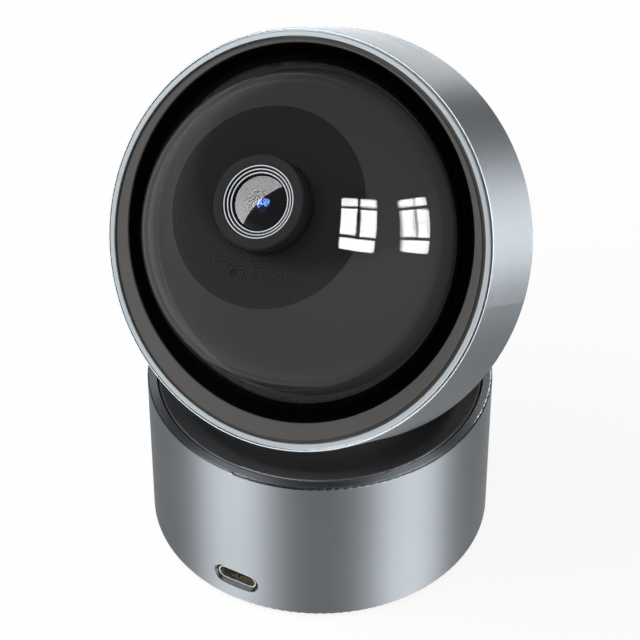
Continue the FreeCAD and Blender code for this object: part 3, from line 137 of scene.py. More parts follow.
floor.data.materials.append(white_table)

# Room light
# The pale room is white at eye height and darker overhead, where the light of the lamps takes over.

room_strength = 0.35
horizon_strength = 1.0
horizon_top = 0.13
overhead_from = 0.35

world = bpy.data.worlds.new("pale_room")
bpy.context.scene.world = world
world.use_nodes = True
background = world.node_tree.nodes["Background"]
background.inputs["Color"].default_value = linear("#FFFFFF")
towards = add(world, "ShaderNodeTexCoord")
height = add(world, "ShaderNodeSeparateXYZ", {0: towards.outputs["Generated"]})
fall = add(world, "ShaderNodeMapRange", {
    "Value": height.outputs["Z"], "From Min": horizon_top, "From Max": overhead_from,
    "To Min": horizon_strength, "To Max": room_strength,
}, interpolation_type="SMOOTHSTEP")
world.node_tree.links.new(fall.outputs[0], background.inputs["Strength"])

# Windows
# Two tall windows stand to the right, as their reflections in the dome show, each a set of
# panes between bars. Black cards keep them off everything but the dome.

head_centre = Vector((0.0, 0.0, 0.078))
light_distance = 1.2
window_radiance = 70.0


def light_panel(name, middle, across, rise, radiance, lights_only=(), lights_all_but=()):
    """A one-sided rectangle of light that faces the object, given by its middle and its sides."""
    data = bpy.data.lights.new(name, "AREA")
    data.shape = "RECTANGLE"
    data.size = across.length
    data.size_y = rise.length
    data.energy = radiance * math.pi * across.length * rise.length
    made = bpy.data.objects.new(name, data)
    bpy.context.scene.collection.objects.link(made)
    x_axis = across.normalized()
    z_axis = x_axis.cross(rise).normalized()
    if z_axis.dot(middle - head_centre) < 0:
        x_axis, z_axis = -x_axis, -z_axis
    y_axis = z_axis.cross(x_axis)
    turn = Matrix((x_axis, y_axis, z_axis)).transposed().to_4x4()
    made.matrix_world = Matrix.Translation(middle) @ turn
    made.visible_camera = False
    if lights_only or lights_all_but:
        cards = bpy.data.collections.new(f"{name}_cards")
        for node in lights_only or lights_all_but:
            cards.objects.link(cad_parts[node])
        if lights_all_but:
            for item in cards.collection_objects:
                item.light_linking.link_state = "EXCLUDE"
        made.light_linking.receiver_collection = cards
    return made


def direction(azimuth_deg, elevation_deg):
    """A direction by its angle right of the camera's and its height over the horizon."""
    azimuth = view_azimuth + math.radians(azimuth_deg)
    elevation = math.radians(elevation_deg)
    flat = math.cos(elevation)
    return Vector((math.sin(azimuth) * flat, -math.cos(azimuth) * flat, math.sin(elevation)))


# Each pane is left, right, bottom and top as shares of its window.
panes = [
    (0.00, 0.46, 0.85, 1.00),
    (0.54, 1.00, 0.85, 1.00),
    (0.00, 0.43, 0.29, 0.79),
    (0.55, 1.00, 0.29, 0.79),
    (0.00, 1.00, 0.00, 0.23),
]
# Each corner, clockwise from the top left, is degrees right of the view and over the horizon.
windows = {
    "near_window": [(34.9, 54.8), (62.3, 44.0), (40.9, 15.6), (17.6, 27.6)],
    "far_window": [(78.3, 32.9), (93.3, 17.2), (77.8, -3.0), (58.9, 7.6)],
}
for name, corners in windows.items():
    top_left, top_right, low_right, low_left = [
        head_centre + direction(*corner) * light_distance for corner in corners
    ]
    across = ((top_right - top_left) + (low_right - low_left)) / 2
    rise = ((top_left - low_left) + (top_right - low_right)) / 2
    centre = (top_left + top_right + low_right + low_left) / 4
    for index, (left, right, bottom, top) in enumerate(panes):
        middle = centre + across * ((left + right) / 2 - 0.5) + rise * ((bottom + top) / 2 - 0.5)
        light_panel(f"{name}_{index}", middle, across * (right - left), rise * (top - bottom),
                    window_radiance, lights_only=["dome_window"])

# Softboxes
# One hangs to the upper left and lights all but the dome, the lenses and the metal. Three stand low
# round the metal, left, right and behind, and draw the bright bands on it. The others light one
# piece each: the bowl, the lens shroud or the inner lens.

metal_pieces = ["base_shell", "head_drum", "usb_socket"]


def softbox(name, azimuth, elevation, width, tall, radiance, **cards):
    """A light panel given by its angles from the head, its size in metres and its radiance."""
    outward = direction(azimuth, elevation)
    across = Vector((-outward.y, outward.x, 0.0)).normalized() * width
    rise = outward.cross(across).normalized() * tall
    light_panel(name, head_centre + outward * light_distance, across, rise, radiance, **cards)


softbox("upper_left_softbox", -88, 50, 1.1, 1.0, 2.2,
        lights_all_but=["dome_window", "front_lens", "inner_lens"] + metal_pieces)
softbox("left_softbox", -53, 25, 0.85, 0.9, 17.0, lights_only=metal_pieces)
softbox("right_softbox", 55, 25, 0.85, 0.9, 18.0, lights_only=metal_pieces)
softbox("back_softbox", 176, 12, 1.3, 0.45, 17.0, lights_only=metal_pieces)
softbox("left_bowl_softbox", -53, 25, 0.85, 0.9, 10.0, lights_only=["turntable_bowl"])
softbox("right_bowl_softbox", 55, 25, 0.85, 0.9, 16.0, lights_only=["turntable_bowl"])
softbox("face_softbox", 5, 42, 0.6, 0.6, 15.0, lights_only=["lens_shroud"])
softbox("left_blue_lamp", -95, 24, 0.9, 1.2, 70.0, lights_only=["inner_lens"])
softbox("right_blue_lamp", -42, 66, 0.9, 1.2, 70.0, lights_only=["inner_lens"])

# Lens softbox
# A large one leans over the left of the lens. Its straight edge crosses the glass, and its
# light fades towards that edge.

# The ends of the straight edge are degrees right of the view and over the horizon.
edge_ends = [(-65, 5.7), (-38.8, 80.5)]
lens_softbox_width = 1.2
lens_softbox_rise = 1.3
lens_softbox_bright = 17.0
lens_softbox_dim = 2.0

edge_low, edge_high = [direction(*way) * light_distance for way in edge_ends]
edge_middle = (edge_low + edge_high) / 2
edge_rise = (edge_high - edge_low) * lens_softbox_rise
leftward = edge_middle.cross(edge_rise).normalized()
lean = math.asin(lens_softbox_width / 2 / edge_middle.length)
inward = leftward * math.cos(lean) - edge_middle.normalized() * math.sin(lean)
lens_softbox_middle = head_centre + edge_middle + inward * lens_softbox_width / 2
lens_softbox = light_panel("lens_softbox", lens_softbox_middle, inward * lens_softbox_width, edge_rise,
                           radiance=1.0, lights_only=["front_lens"])
lens_softbox.data.use_nodes = True
lamp_face = add(lens_softbox.data, "ShaderNodeNewGeometry")
lamp_side = add(lens_softbox.data, "ShaderNodeSeparateXYZ", {0: lamp_face.outputs["Parametric"]})
fade = add(lens_softbox.data, "ShaderNodeMapRange", {
    "Value": lamp_side.outputs["X"], "To Min": lens_softbox_dim, "To Max": lens_softbox_bright,
})
lamp = lens_softbox.data.node_tree.nodes["Emission"]
lens_softbox.data.node_tree.links.new(fade.outputs[0], lamp.inputs["Strength"])

# Foot ring
# Silicone rubber, compression moulded and pressed into a groove of the base floor. It is dull,
# finely pored and slightly dusty.

pore_size = 0.4 * mm
dust_patch = 11.11 * mm


def paint(nodes, material):
    """Gives CAD nodes one material."""
    for name in nodes:
        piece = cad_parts[name]
        piece.data.materials.clear()
        piece.data.materials.append(material)


rubber = new_material("silicone_rubber")
coords = add(rubber, "ShaderNodeTexCoord")
pores = add(rubber, "ShaderNodeTexNoise", {
    "Vector": coords.outputs["Object"], "Scale": 1 / pore_size, "Detail": 3.0,
})
dust = add(rubber, "ShaderNodeTexNoise", {
    "Vector": coords.outputs["Object"], "Scale": 1 / dust_patch, "Detail": 4.0,
})
colour = add(rubber, "ShaderNodeMix", {
    "Factor": dust.outputs["Fac"], 6: linear("#161617"), 7: linear("#2A2A2B"),
}, data_type="RGBA")
relief = add(rubber, "ShaderNodeBump", {
    "Height": pores.outputs["Fac"], "Strength": 0.4, "Distance": 0.03 * mm,
})
surface = add(rubber, "ShaderNodeBsdfPrincipled", {
    "Base Color": colour.outputs[2], "Roughness": 0.85, "Specular IOR Level": 0.3,
    "Normal": relief.outputs[0],
})
add(rubber, "ShaderNodeOutputMaterial", {"Surface": surface.outputs[0]})
paint(["foot_ring"], rubber)

# Base floor, deck plate and chassis
# Black ABS, moulded in a spark-eroded tool, so it has a fine dull grain. The grain is drawn at
# 0.3 mm, about three times as coarse as real.

abs_grain = 0.3 * mm

black_abs = new_material("black_moulded_abs")
coords = add(black_abs, "ShaderNodeTexCoord")
grain = add(black_abs, "ShaderNodeTexNoise", {
    "Vector": coords.outputs["Object"], "Scale": 1 / abs_grain, "Detail": 2.0,
})
shade = add(black_abs, "ShaderNodeMix", {
    "Factor": grain.outputs["Fac"], 6: linear("#0D0D0E"), 7: linear("#19191A"),
}, data_type="RGBA")
dull = add(black_abs, "ShaderNodeMapRange", {
    "Value": grain.outputs["Fac"], "To Min": 0.5, "To Max": 0.65,
})
relief = add(black_abs, "ShaderNodeBump", {
    "Height": grain.outputs["Fac"], "Strength": 0.35, "Distance": 0.02 * mm,
})
surface = add(black_abs, "ShaderNodeBsdfPrincipled", {
    "Base Color": shade.outputs[2], "Roughness": dull.outputs[0], "Specular IOR Level": 0.4,
    "Normal": relief.outputs[0],
})
add(black_abs, "ShaderNodeOutputMaterial", {"Surface": surface.outputs[0]})
paint(["base_floor", "deck_plate", "pan_hub", "head_chassis", "lens_holder"], black_abs)

# Tripod insert
# Brass, turned and tapped with the quarter-inch camera thread, then pressed into the floor.
# The thread shows from below, so the insert is made again here with its helix.

insert_bottom = 0.5 * mm
insert_top = 8.5 * mm
insert_radius = 4.4 * mm
thread_crest = 2.6 * mm
thread_root = 3.15 * mm
thread_pitch = 25.4 / 20 * mm
countersink_depth = 0.5 * mm
sleeve_chamfer = 0.3 * mm
thread_overlap = 0.1 * mm
thread_turns = 10
thread_facets = 48
flank_share = 0.36
crest_share = 0.14
weld_distance = 0.001 * mm
sharp_angle = math.radians(35)
tarnish_patch = 2.38 * mm


def revolved(name, start, steps, turns=1, rise=0.0, around=64):
    """A profile drawn point by point from start, in radius and height, and turned round Z."""
    bpy.ops.object.select_all(action="DESELECT")
    bpy.ops.mesh.primitive_plane_add(size=mm)
    made = bpy.context.object
    made.name = name
    bpy.ops.object.mode_set(mode="EDIT")
    bpy.ops.mesh.merge(type="CENTER")
    bpy.ops.transform.translate(value=(start[0], 0.0, start[1]))
    for out, up in steps:
        bpy.ops.mesh.extrude_vertices_move(TRANSFORM_OT_translate={"value": (out, 0.0, up)})
    bpy.ops.object.mode_set(mode="OBJECT")
    turning = made.modifiers.new("turning", "SCREW")
    turning.axis = "Z"
    turning.steps = around
    turning.render_steps = around
    turning.screw_offset = rise
    turning.iterations = turns
    turning.use_merge_vertices = rise == 0.0
    bpy.ops.object.modifier_apply(modifier="turning")
    bpy.ops.object.mode_set(mode="EDIT")
    bpy.ops.mesh.select_all(action="SELECT")
    bpy.ops.mesh.remove_doubles(threshold=weld_distance)
    bpy.ops.mesh.normals_make_consistent(inside=False)
    bpy.ops.object.mode_set(mode="OBJECT")
    return made


flank = thread_root - thread_crest
slope = flank_share * thread_pitch
crest_width = crest_share * thread_pitch
thread = revolved("tripod_thread", (thread_crest, insert_bottom - 2 * thread_pitch), [
    (0.0, crest_width), (flank, slope), (0.0, crest_width), (-flank, slope),
], turns=thread_turns, rise=thread_pitch, around=thread_facets)
bpy.ops.object.mode_set(mode="EDIT")
for cut, below in ((insert_bottom + countersink_depth, True), (insert_top, False)):
    bpy.ops.mesh.select_all(action="SELECT")
    bpy.ops.mesh.bisect(plane_co=(0.0, 0.0, cut), plane_no=(0.0, 0.0, 1.0),
                        clear_inner=below, clear_outer=not below)
bpy.ops.object.mode_set(mode="OBJECT")
facing_out = sum(
    face.normal.x * face.center.x + face.normal.y * face.center.y for face in thread.data.polygons
)
if facing_out > 0:
    thread.data.flip_normals()
bore_start = (thread_root - thread_overlap, insert_bottom + countersink_depth)
sleeve = revolved("tripod_insert_thread", bore_start, [
    (countersink_depth + thread_overlap, -countersink_depth),
    (insert_radius - thread_root - countersink_depth - sleeve_chamfer, 0.0),
    (sleeve_chamfer, sleeve_chamfer),
    (0.0, insert_top - insert_bottom - 2 * sleeve_chamfer),
    (-sleeve_chamfer, sleeve_chamfer),
    (thread_root - insert_radius + sleeve_chamfer, 0.0),
])
thread.select_set(True)
bpy.context.view_layer.objects.active = sleeve
bpy.ops.object.join()
bpy.ops.object.shade_smooth_by_angle(angle=sharp_angle)

brass = new_material("turned_brass")
coords = add(brass, "ShaderNodeTexCoord")
tarnish = add(brass, "ShaderNodeTexNoise", {
    "Vector": coords.outputs["Object"], "Scale": 1 / tarnish_patch, "Detail": 4.0,
})
colour = add(brass, "ShaderNodeMix", {
    "Factor": tarnish.outputs["Fac"], 6: linear("#C79A4B"), 7: linear("#E3BE74"),
}, data_type="RGBA")
cut_marks = add(brass, "ShaderNodeMapRange", {
    "Value": tarnish.outputs["Fac"], "To Min": 0.22, "To Max": 0.4,
})
surface = add(brass, "ShaderNodeBsdfPrincipled", {
    "Base Color": colour.outputs[2], "Metallic": 1.0, "Roughness": cut_marks.outputs[0],
})
add(brass, "ShaderNodeOutputMaterial", {"Surface": surface.outputs[0]})
paint(["tripod_insert"], brass)
sleeve.data.materials.clear()
sleeve.data.materials.append(brass)
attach(sleeve, "base")
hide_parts("tripod_insert")

# Base shell
# A can turned from aluminium, brushed round and anodised satin, which draws every light out into a
# band along its height. The lines are drawn 0.4 mm apart, coarser than real. The flat rim is turned
# finer than the wall, and the bevel between them is painted dark as shade, a dark line.

aluminium_low = "#65696C"
aluminium_high = "#6D7175"
painted_bevel_shade = "#2E3133"
brushed_line = 0.4 * mm
brushed_length = 16.7 * mm
anodised_patch = 22.2 * mm
rim_roughness = 0.38
rim_facing = 0.9
bevel_facing = 0.7
bevel_facing_range = 0.19


def satin_aluminium(name, place, axis, centre, bevel_colour=aluminium_high):
    """Brushed aluminium turned on an axis; place is the Mapping that lays the axis along Z."""
    material = new_material(name)
    coords = add(material, "ShaderNodeTexCoord")
    own = add(material, "ShaderNodeMapping", {"Vector": coords.outputs["Object"], **place})
    stretched = add(material, "ShaderNodeVectorMath", {
        0: own.outputs[0], 1: (1 / brushed_length, 1 / brushed_length, 1 / brushed_line),
    }, operation="MULTIPLY")
    lines = add(material, "ShaderNodeTexNoise", {
        "Vector": stretched.outputs[0], "Scale": 1.0, "Detail": 3.0, "Roughness": 0.6,
    })
    patches = add(material, "ShaderNodeTexNoise", {
        "Vector": own.outputs[0], "Scale": 1 / anodised_patch, "Detail": 2.0,
    })
    colour = add(material, "ShaderNodeMix", {
        "Factor": patches.outputs["Fac"], 6: linear(aluminium_low), 7: linear(aluminium_high),
    }, data_type="RGBA")
    endwise = add(material, "ShaderNodeVectorMath", {
        0: coords.outputs["Normal"], 1: axis,
    }, operation="DOT_PRODUCT")
    on_rim = add(material, "ShaderNodeMath", {
        0: endwise.outputs["Value"], 1: rim_facing,
    }, operation="GREATER_THAN")
    on_bevel = add(material, "ShaderNodeMath", {
        0: endwise.outputs["Value"], 1: bevel_facing, 2: bevel_facing_range,
    }, operation="COMPARE")
    # The bevel takes bevel_colour, which on the base is a painted shade.
    colour = add(material, "ShaderNodeMix", {
        "Factor": on_bevel.outputs[0], 6: colour.outputs[2], 7: linear(bevel_colour),
    }, data_type="RGBA")
    brushed = add(material, "ShaderNodeMapRange", {
        "Value": lines.outputs["Fac"], "From Min": 0.3, "From Max": 0.7, "To Min": 0.5, "To Max": 0.6,
    })
    roughness = add(material, "ShaderNodeMix", {
        "Factor": on_rim.outputs[0], "A": brushed.outputs[0], "B": rim_roughness,
    })
    relief = add(material, "ShaderNodeBump", {
        "Height": lines.outputs["Fac"], "Strength": 0.2, "Distance": 0.004 * mm,
    })
    out_from_axis = add(material, "ShaderNodeVectorMath", {
        0: coords.outputs["Object"], 1: centre,
    }, operation="SUBTRACT")
    around = add(material, "ShaderNodeVectorMath", {
        0: axis, 1: out_from_axis.outputs[0],
    }, operation="CROSS_PRODUCT")
    tangent = add(material, "ShaderNodeVectorTransform", {0: around.outputs[0]},
                  vector_type="VECTOR", convert_from="OBJECT", convert_to="WORLD")
    surface = add(material, "ShaderNodeBsdfPrincipled", {
        "Base Color": colour.outputs[2], "Metallic": 1.0, "Roughness": roughness.outputs[0],
        "Anisotropic": 0.9, "Anisotropic Rotation": 0.25, "Tangent": tangent.outputs[0],
        "Normal": relief.outputs[0],
    })
    add(material, "ShaderNodeOutputMaterial", {"Surface": surface.outputs[0]})
    return material


base_place = {"Location": (0.0, 0.0, 0.0)}
# The base's bevel is painted dark as shade.
paint(["base_shell"], satin_aluminium("satin_anodised_aluminium_base", base_place, (0, 0, 1), (0, 0, 0),
                                      bevel_colour=painted_bevel_shade))

# Power socket
# A deep-drawn steel sleeve, nickel plated, round a black nylon tongue. The gold contacts on both
# faces of the tongue are pressed strips, 0.5 mm apart.

contact_count = 12
contact_pitch = 0.5 * mm
contact_width = 0.25 * mm
contact_thickness = 0.04 * mm
contact_length = 3.4 * mm
contact_setback = 0.5 * mm
contact_bevel = 0.012 * mm
plating_patch = 1.11 * mm
nylon_fibre = 0.455 * mm
rubbed_patch = 0.333 * mm

nickel = new_material("nickel_plated_steel")
coords = add(nickel, "ShaderNodeTexCoord")
handling = add(nickel, "ShaderNodeTexNoise", {
    "Vector": coords.outputs["Object"], "Scale": 1 / plating_patch, "Detail": 3.0,
})
wear = add(nickel, "ShaderNodeMapRange", {
    "Value": handling.outputs["Fac"], "To Min": 0.2, "To Max": 0.38,
})
tone = add(nickel, "ShaderNodeMix", {
    "Factor": handling.outputs["Fac"], 6: linear("#BDBAB4"), 7: linear("#D2D0CB"),
}, data_type="RGBA")
surface = add(nickel, "ShaderNodeBsdfPrincipled", {
    "Base Color": tone.outputs[2], "Metallic": 1.0, "Roughness": wear.outputs[0],
})
add(nickel, "ShaderNodeOutputMaterial", {"Surface": surface.outputs[0]})
paint(["usb_socket", "speaker_magnet"], nickel)

nylon = new_material("glass_filled_nylon")
coords = add(nylon, "ShaderNodeTexCoord")
fibres = add(nylon, "ShaderNodeTexNoise", {
    "Vector": coords.outputs["Object"], "Scale": 1 / nylon_fibre, "Detail": 2.0, "Distortion": 1.5,
})
shade = add(nylon, "ShaderNodeMix", {
    "Factor": fibres.outputs["Fac"], 6: linear("#141415"), 7: linear("#262627"),
}, data_type="RGBA")
surface = add(nylon, "ShaderNodeBsdfPrincipled", {"Base Color": shade.outputs[2], "Roughness": 0.5})
add(nylon, "ShaderNodeOutputMaterial", {"Surface": surface.outputs[0]})
paint(["usb_tongue"], nylon)

tongue_low, tongue_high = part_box("usb_tongue")
contact_front = tongue_low[1] + contact_setback
strips = []
for index in range(2 * contact_count):
    column = index % contact_count
    below = index >= contact_count
    height = tongue_low[2] if below else tongue_high[2]
    bpy.ops.object.select_all(action="DESELECT")
    bpy.ops.mesh.primitive_cube_add(size=1.0, location=(
        (column - (contact_count - 1) / 2) * contact_pitch, contact_front + contact_length / 2, height,
    ), scale=(contact_width, contact_length, contact_thickness))
    strip = bpy.context.object
    bpy.ops.object.transform_apply(location=True, rotation=True, scale=True)
    bpy.ops.object.mode_set(mode="EDIT")
    bpy.ops.mesh.select_all(action="SELECT")
    bpy.ops.mesh.bevel(offset=contact_bevel, segments=1)
    bpy.ops.object.mode_set(mode="OBJECT")
    strips.append(strip)
bpy.ops.object.select_all(action="DESELECT")
for strip in strips:
    strip.select_set(True)
contacts = strips[0]
bpy.context.view_layer.objects.active = contacts
bpy.ops.object.join()
contacts.name = "socket_contacts"

gold = new_material("gold_plated_contact")
coords = add(gold, "ShaderNodeTexCoord")
rubbed = add(gold, "ShaderNodeTexNoise", {
    "Vector": coords.outputs["Object"], "Scale": 1 / rubbed_patch, "Detail": 2.0,
})
wear = add(gold, "ShaderNodeMapRange", {"Value": rubbed.outputs["Fac"], "To Min": 0.15, "To Max": 0.35})
surface = add(gold, "ShaderNodeBsdfPrincipled", {
    "Base Color": linear("#E2C06A"), "Metallic": 1.0, "Roughness": wear.outputs[0],
})
add(gold, "ShaderNodeOutputMaterial", {"Surface": surface.outputs[0]})
contacts.data.materials.append(gold)
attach(contacts, "base")

# Circuit boards and their chips
# Glass-epoxy boards under green solder mask, whose copper tracks show as paler lines and whose
# holes are gilt. The chips are black epoxy, moulded, with a frosted top.

track_grid = 1.6 * mm
track_width = 0.035
hole_spacing = 2.4 * mm
hole_share = 0.1
frosted_grain = 0.2 * mm


def circuit_board(name, place):
    """A green board in whose own plane, laid level by place, the tracks run."""
    material = new_material(name)
    coords = add(material, "ShaderNodeTexCoord")
    own = add(material, "ShaderNodeMapping", {"Vector": coords.outputs["Object"], **place})
    tracks = add(material, "ShaderNodeTexBrick", {
        "Vector": own.outputs[0], "Scale": 1 / track_grid, "Mortar Size": track_width,
        "Brick Width": 1.7, "Row Height": 0.45,
        "Color1": linear("#0C4A2A"), "Color2": linear("#0E5330"), "Mortar": linear("#3E8A55"),
    }, offset=0.37)
    level = add(material, "ShaderNodeVectorMath", {
        0: own.outputs[0], 1: (1.0, 1.0, 0.0),
    }, operation="MULTIPLY")
    holes = add(material, "ShaderNodeTexVoronoi", {
        "Vector": level.outputs[0], "Scale": 1 / hole_spacing, "Randomness": 0.7,
    })
    gilt = add(material, "ShaderNodeMath", {
        0: holes.outputs["Distance"], 1: hole_share,
    }, operation="LESS_THAN")
    colour = add(material, "ShaderNodeMix", {
        "Factor": gilt.outputs[0], 6: tracks.outputs["Color"], 7: linear("#C9A44E"),
    }, data_type="RGBA")
    surface = add(material, "ShaderNodeBsdfPrincipled", {
        "Base Color": colour.outputs[2], "Metallic": gilt.outputs[0], "Roughness": 0.3,
    })
    add(material, "ShaderNodeOutputMaterial", {"Surface": surface.outputs[0]})
    return material


paint(["main_board"], circuit_board("green_circuit_board", base_place))

epoxy = new_material("moulded_chip_epoxy")
coords = add(epoxy, "ShaderNodeTexCoord")
frost = add(epoxy, "ShaderNodeTexNoise", {
    "Vector": coords.outputs["Object"], "Scale": 1 / frosted_grain, "Detail": 2.0,
})
shade = add(epoxy, "ShaderNodeMix", {
    "Factor": frost.outputs["Fac"], 6: linear("#161616"), 7: linear("#2B2B2C"),
}, data_type="RGBA")
dull = add(epoxy, "ShaderNodeMapRange", {"Value": frost.outputs["Fac"], "To Min": 0.45, "To Max": 0.65})
surface = add(epoxy, "ShaderNodeBsdfPrincipled", {
    "Base Color": shade.outputs[2], "Roughness": dull.outputs[0],
})
add(epoxy, "ShaderNodeOutputMaterial", {"Surface": surface.outputs[0]})
paint(["board_components", "microphone"], epoxy)

# Speaker
# The basket and its cone stand over the sound holes of the base floor. The cone is pressed from
# paper pulp, grey-black, with its fibres drawn coarser than real.

pulp_fibre = 0.714 * mm

pulp = new_material("pressed_paper_cone")
coords = add(pulp, "ShaderNodeTexCoord")
fibres = add(pulp, "ShaderNodeTexNoise", {
    "Vector": coords.outputs["Object"], "Scale": 1 / pulp_fibre, "Detail": 4.0, "Distortion": 2.0,
})
shade = add(pulp, "ShaderNodeMix", {
    "Factor": fibres.outputs["Fac"], 6: linear("#1B1B1C"), 7: linear("#3A3A3B"),
}, data_type="RGBA")
relief = add(pulp, "ShaderNodeBump", {
    "Height": fibres.outputs["Fac"], "Strength": 0.4, "Distance": 0.03 * mm,
})
surface = add(pulp, "ShaderNodeBsdfPrincipled", {
    "Base Color": shade.outputs[2], "Roughness": 0.8, "Normal": relief.outputs[0],
})
add(pulp, "ShaderNodeOutputMaterial", {"Surface": surface.outputs[0]})
paint(["speaker"], pulp)

# Motors, shafts, axle and clips
# Motor cans are drawn from tin-plated steel. The shafts and the axle are ground bright, and the
# clips are blued spring steel.

spangle_size = 2.86 * mm
grinding_mark = 0.111 * mm
grinding_length = 2.5 * mm
oil_patch = 1.43 * mm

tin = new_material("tin_plated_motor_can")
coords = add(tin, "ShaderNodeTexCoord")
spangle = add(tin, "ShaderNodeTexVoronoi", {
    "Vector": coords.outputs["Object"], "Scale": 1 / spangle_size,
})
tone = add(tin, "ShaderNodeMix", {
    "Factor": spangle.outputs["Distance"], 6: linear("#A9ABAC"), 7: linear("#C2C4C5"),
}, data_type="RGBA")
wear = add(tin, "ShaderNodeMapRange", {
    "Value": spangle.outputs["Distance"], "To Min": 0.3, "To Max": 0.45,
})
surface = add(tin, "ShaderNodeBsdfPrincipled", {
    "Base Color": tone.outputs[2], "Metallic": 1.0, "Roughness": wear.outputs[0],
})
add(tin, "ShaderNodeOutputMaterial", {"Surface": surface.outputs[0]})
paint(["pan_motor", "tilt_motor"], tin)

ground = new_material("ground_steel")
coords = add(ground, "ShaderNodeTexCoord")
grinding = add(ground, "ShaderNodeVectorMath", {
    0: coords.outputs["Object"], 1: (1 / grinding_mark, 1 / grinding_length, 1 / grinding_length),
}, operation="MULTIPLY")
marks = add(ground, "ShaderNodeTexNoise", {"Vector": grinding.outputs[0], "Scale": 1.0, "Detail": 1.0})
wear = add(ground, "ShaderNodeMapRange", {"Value": marks.outputs["Fac"], "To Min": 0.12, "To Max": 0.26})
surface = add(ground, "ShaderNodeBsdfPrincipled", {
    "Base Color": linear("#CFCFCD"), "Metallic": 1.0, "Roughness": wear.outputs[0],
})
add(ground, "ShaderNodeOutputMaterial", {"Surface": surface.outputs[0]})
paint(["pan_motor_shaft", "tilt_motor_shaft", "tilt_axle"], ground)

blued = new_material("blued_spring_steel")
coords = add(blued, "ShaderNodeTexCoord")
oil = add(blued, "ShaderNodeTexNoise", {
    "Vector": coords.outputs["Object"], "Scale": 1 / oil_patch, "Detail": 3.0,
})
tone = add(blued, "ShaderNodeMix", {
    "Factor": oil.outputs["Fac"], 6: linear("#3A3F4A"), 7: linear("#565B63"),
}, data_type="RGBA")
surface = add(blued, "ShaderNodeBsdfPrincipled", {
    "Base Color": tone.outputs[2], "Metallic": 1.0, "Roughness": 0.35,
})
add(blued, "ShaderNodeOutputMaterial", {"Surface": surface.outputs[0]})
paint(["hub_clip", "axle_clips"], blued)

# Screws
# Cold-headed steel, zinc plated and passivated, so slightly blue and not quite bright. They hold
# the floor, the pan gear, the neck, the motors, the boards and the covers.

zinc_bloom = 0.77 * mm

zinc_plate = new_material("zinc_plated_screw")
coords = add(zinc_plate, "ShaderNodeTexCoord")
bloom = add(zinc_plate, "ShaderNodeTexNoise", {
    "Vector": coords.outputs["Object"], "Scale": 1 / zinc_bloom, "Detail": 3.0,
})
tone = add(zinc_plate, "ShaderNodeMix", {
    "Factor": bloom.outputs["Fac"], 6: linear("#A5ABB0"), 7: linear("#C6CACD"),
}, data_type="RGBA")
wear = add(zinc_plate, "ShaderNodeMapRange", {
    "Value": bloom.outputs["Fac"], "To Min": 0.25, "To Max": 0.45,
})
surface = add(zinc_plate, "ShaderNodeBsdfPrincipled", {
    "Base Color": tone.outputs[2], "Metallic": 1.0, "Roughness": wear.outputs[0],
})
add(zinc_plate, "ShaderNodeOutputMaterial", {"Surface": surface.outputs[0]})
paint(["floor_screws", "pan_motor_screws", "pan_gear_screws", "neck_screws", "retainer_screws",
       "sensor_board_screws", "tilt_motor_screws", "cover_screws"], zinc_plate)

# Gears and bushes
# Natural acetal, injection moulded: waxy off-white with a soft shine, and slightly uneven where
# the plastic flowed.

flow_width = 4.55 * mm

acetal = new_material("natural_acetal")
coords = add(acetal, "ShaderNodeTexCoord")
flow = add(acetal, "ShaderNodeTexNoise", {
    "Vector": coords.outputs["Object"], "Scale": 1 / flow_width, "Detail": 2.0, "Distortion": 1.0,
})
tone = add(acetal, "ShaderNodeMix", {
    "Factor": flow.outputs["Fac"], 6: linear("#D8D4C8"), 7: linear("#E6E3D9"),
}, data_type="RGBA")
wear = add(acetal, "ShaderNodeMapRange", {"Value": flow.outputs["Fac"], "To Min": 0.32, "To Max": 0.45})
surface = add(acetal, "ShaderNodeBsdfPrincipled", {
    "Base Color": tone.outputs[2], "Roughness": wear.outputs[0],
})
add(acetal, "ShaderNodeOutputMaterial", {"Surface": surface.outputs[0]})
paint(["pan_bush", "pan_pinion", "pan_gear", "tilt_gear", "axle_bushes", "tilt_pinion"], acetal)

# Turntable bowl and rear cover
# Black ABS moulded in a polished tool, so it is glossy, with the slight waviness of a large
# moulding and patches dulled by hands.

mould_wave = 3.85 * mm
handled_patch = 14.3 * mm

gloss_abs = new_material("polished_black_abs")
coords = add(gloss_abs, "ShaderNodeTexCoord")
waviness = add(gloss_abs, "ShaderNodeTexNoise", {
    "Vector": coords.outputs["Object"], "Scale": 1 / mould_wave, "Detail": 1.0,
})
handled = add(gloss_abs, "ShaderNodeTexNoise", {
    "Vector": coords.outputs["Object"], "Scale": 1 / handled_patch, "Detail": 3.0,
})
wear = add(gloss_abs, "ShaderNodeMapRange", {
    "Value": handled.outputs["Fac"], "To Min": 0.26, "To Max": 0.36,
})
relief = add(gloss_abs, "ShaderNodeBump", {
    "Height": waviness.outputs["Fac"], "Strength": 0.12, "Distance": 0.03 * mm,
})
surface = add(gloss_abs, "ShaderNodeBsdfPrincipled", {
    "Base Color": linear("#262628"), "Roughness": wear.outputs[0], "Specular IOR Level": 0.4,
    "Normal": relief.outputs[0],
})
add(gloss_abs, "ShaderNodeOutputMaterial", {"Surface": surface.outputs[0]})
paint(["turntable_bowl", "rear_cover"], gloss_abs)

# Neck arm
# A zinc die casting under dark grey electrocoat, screwed to the bowl, with the faint pitting of
# the casting skin.

pit_size = 0.91 * mm

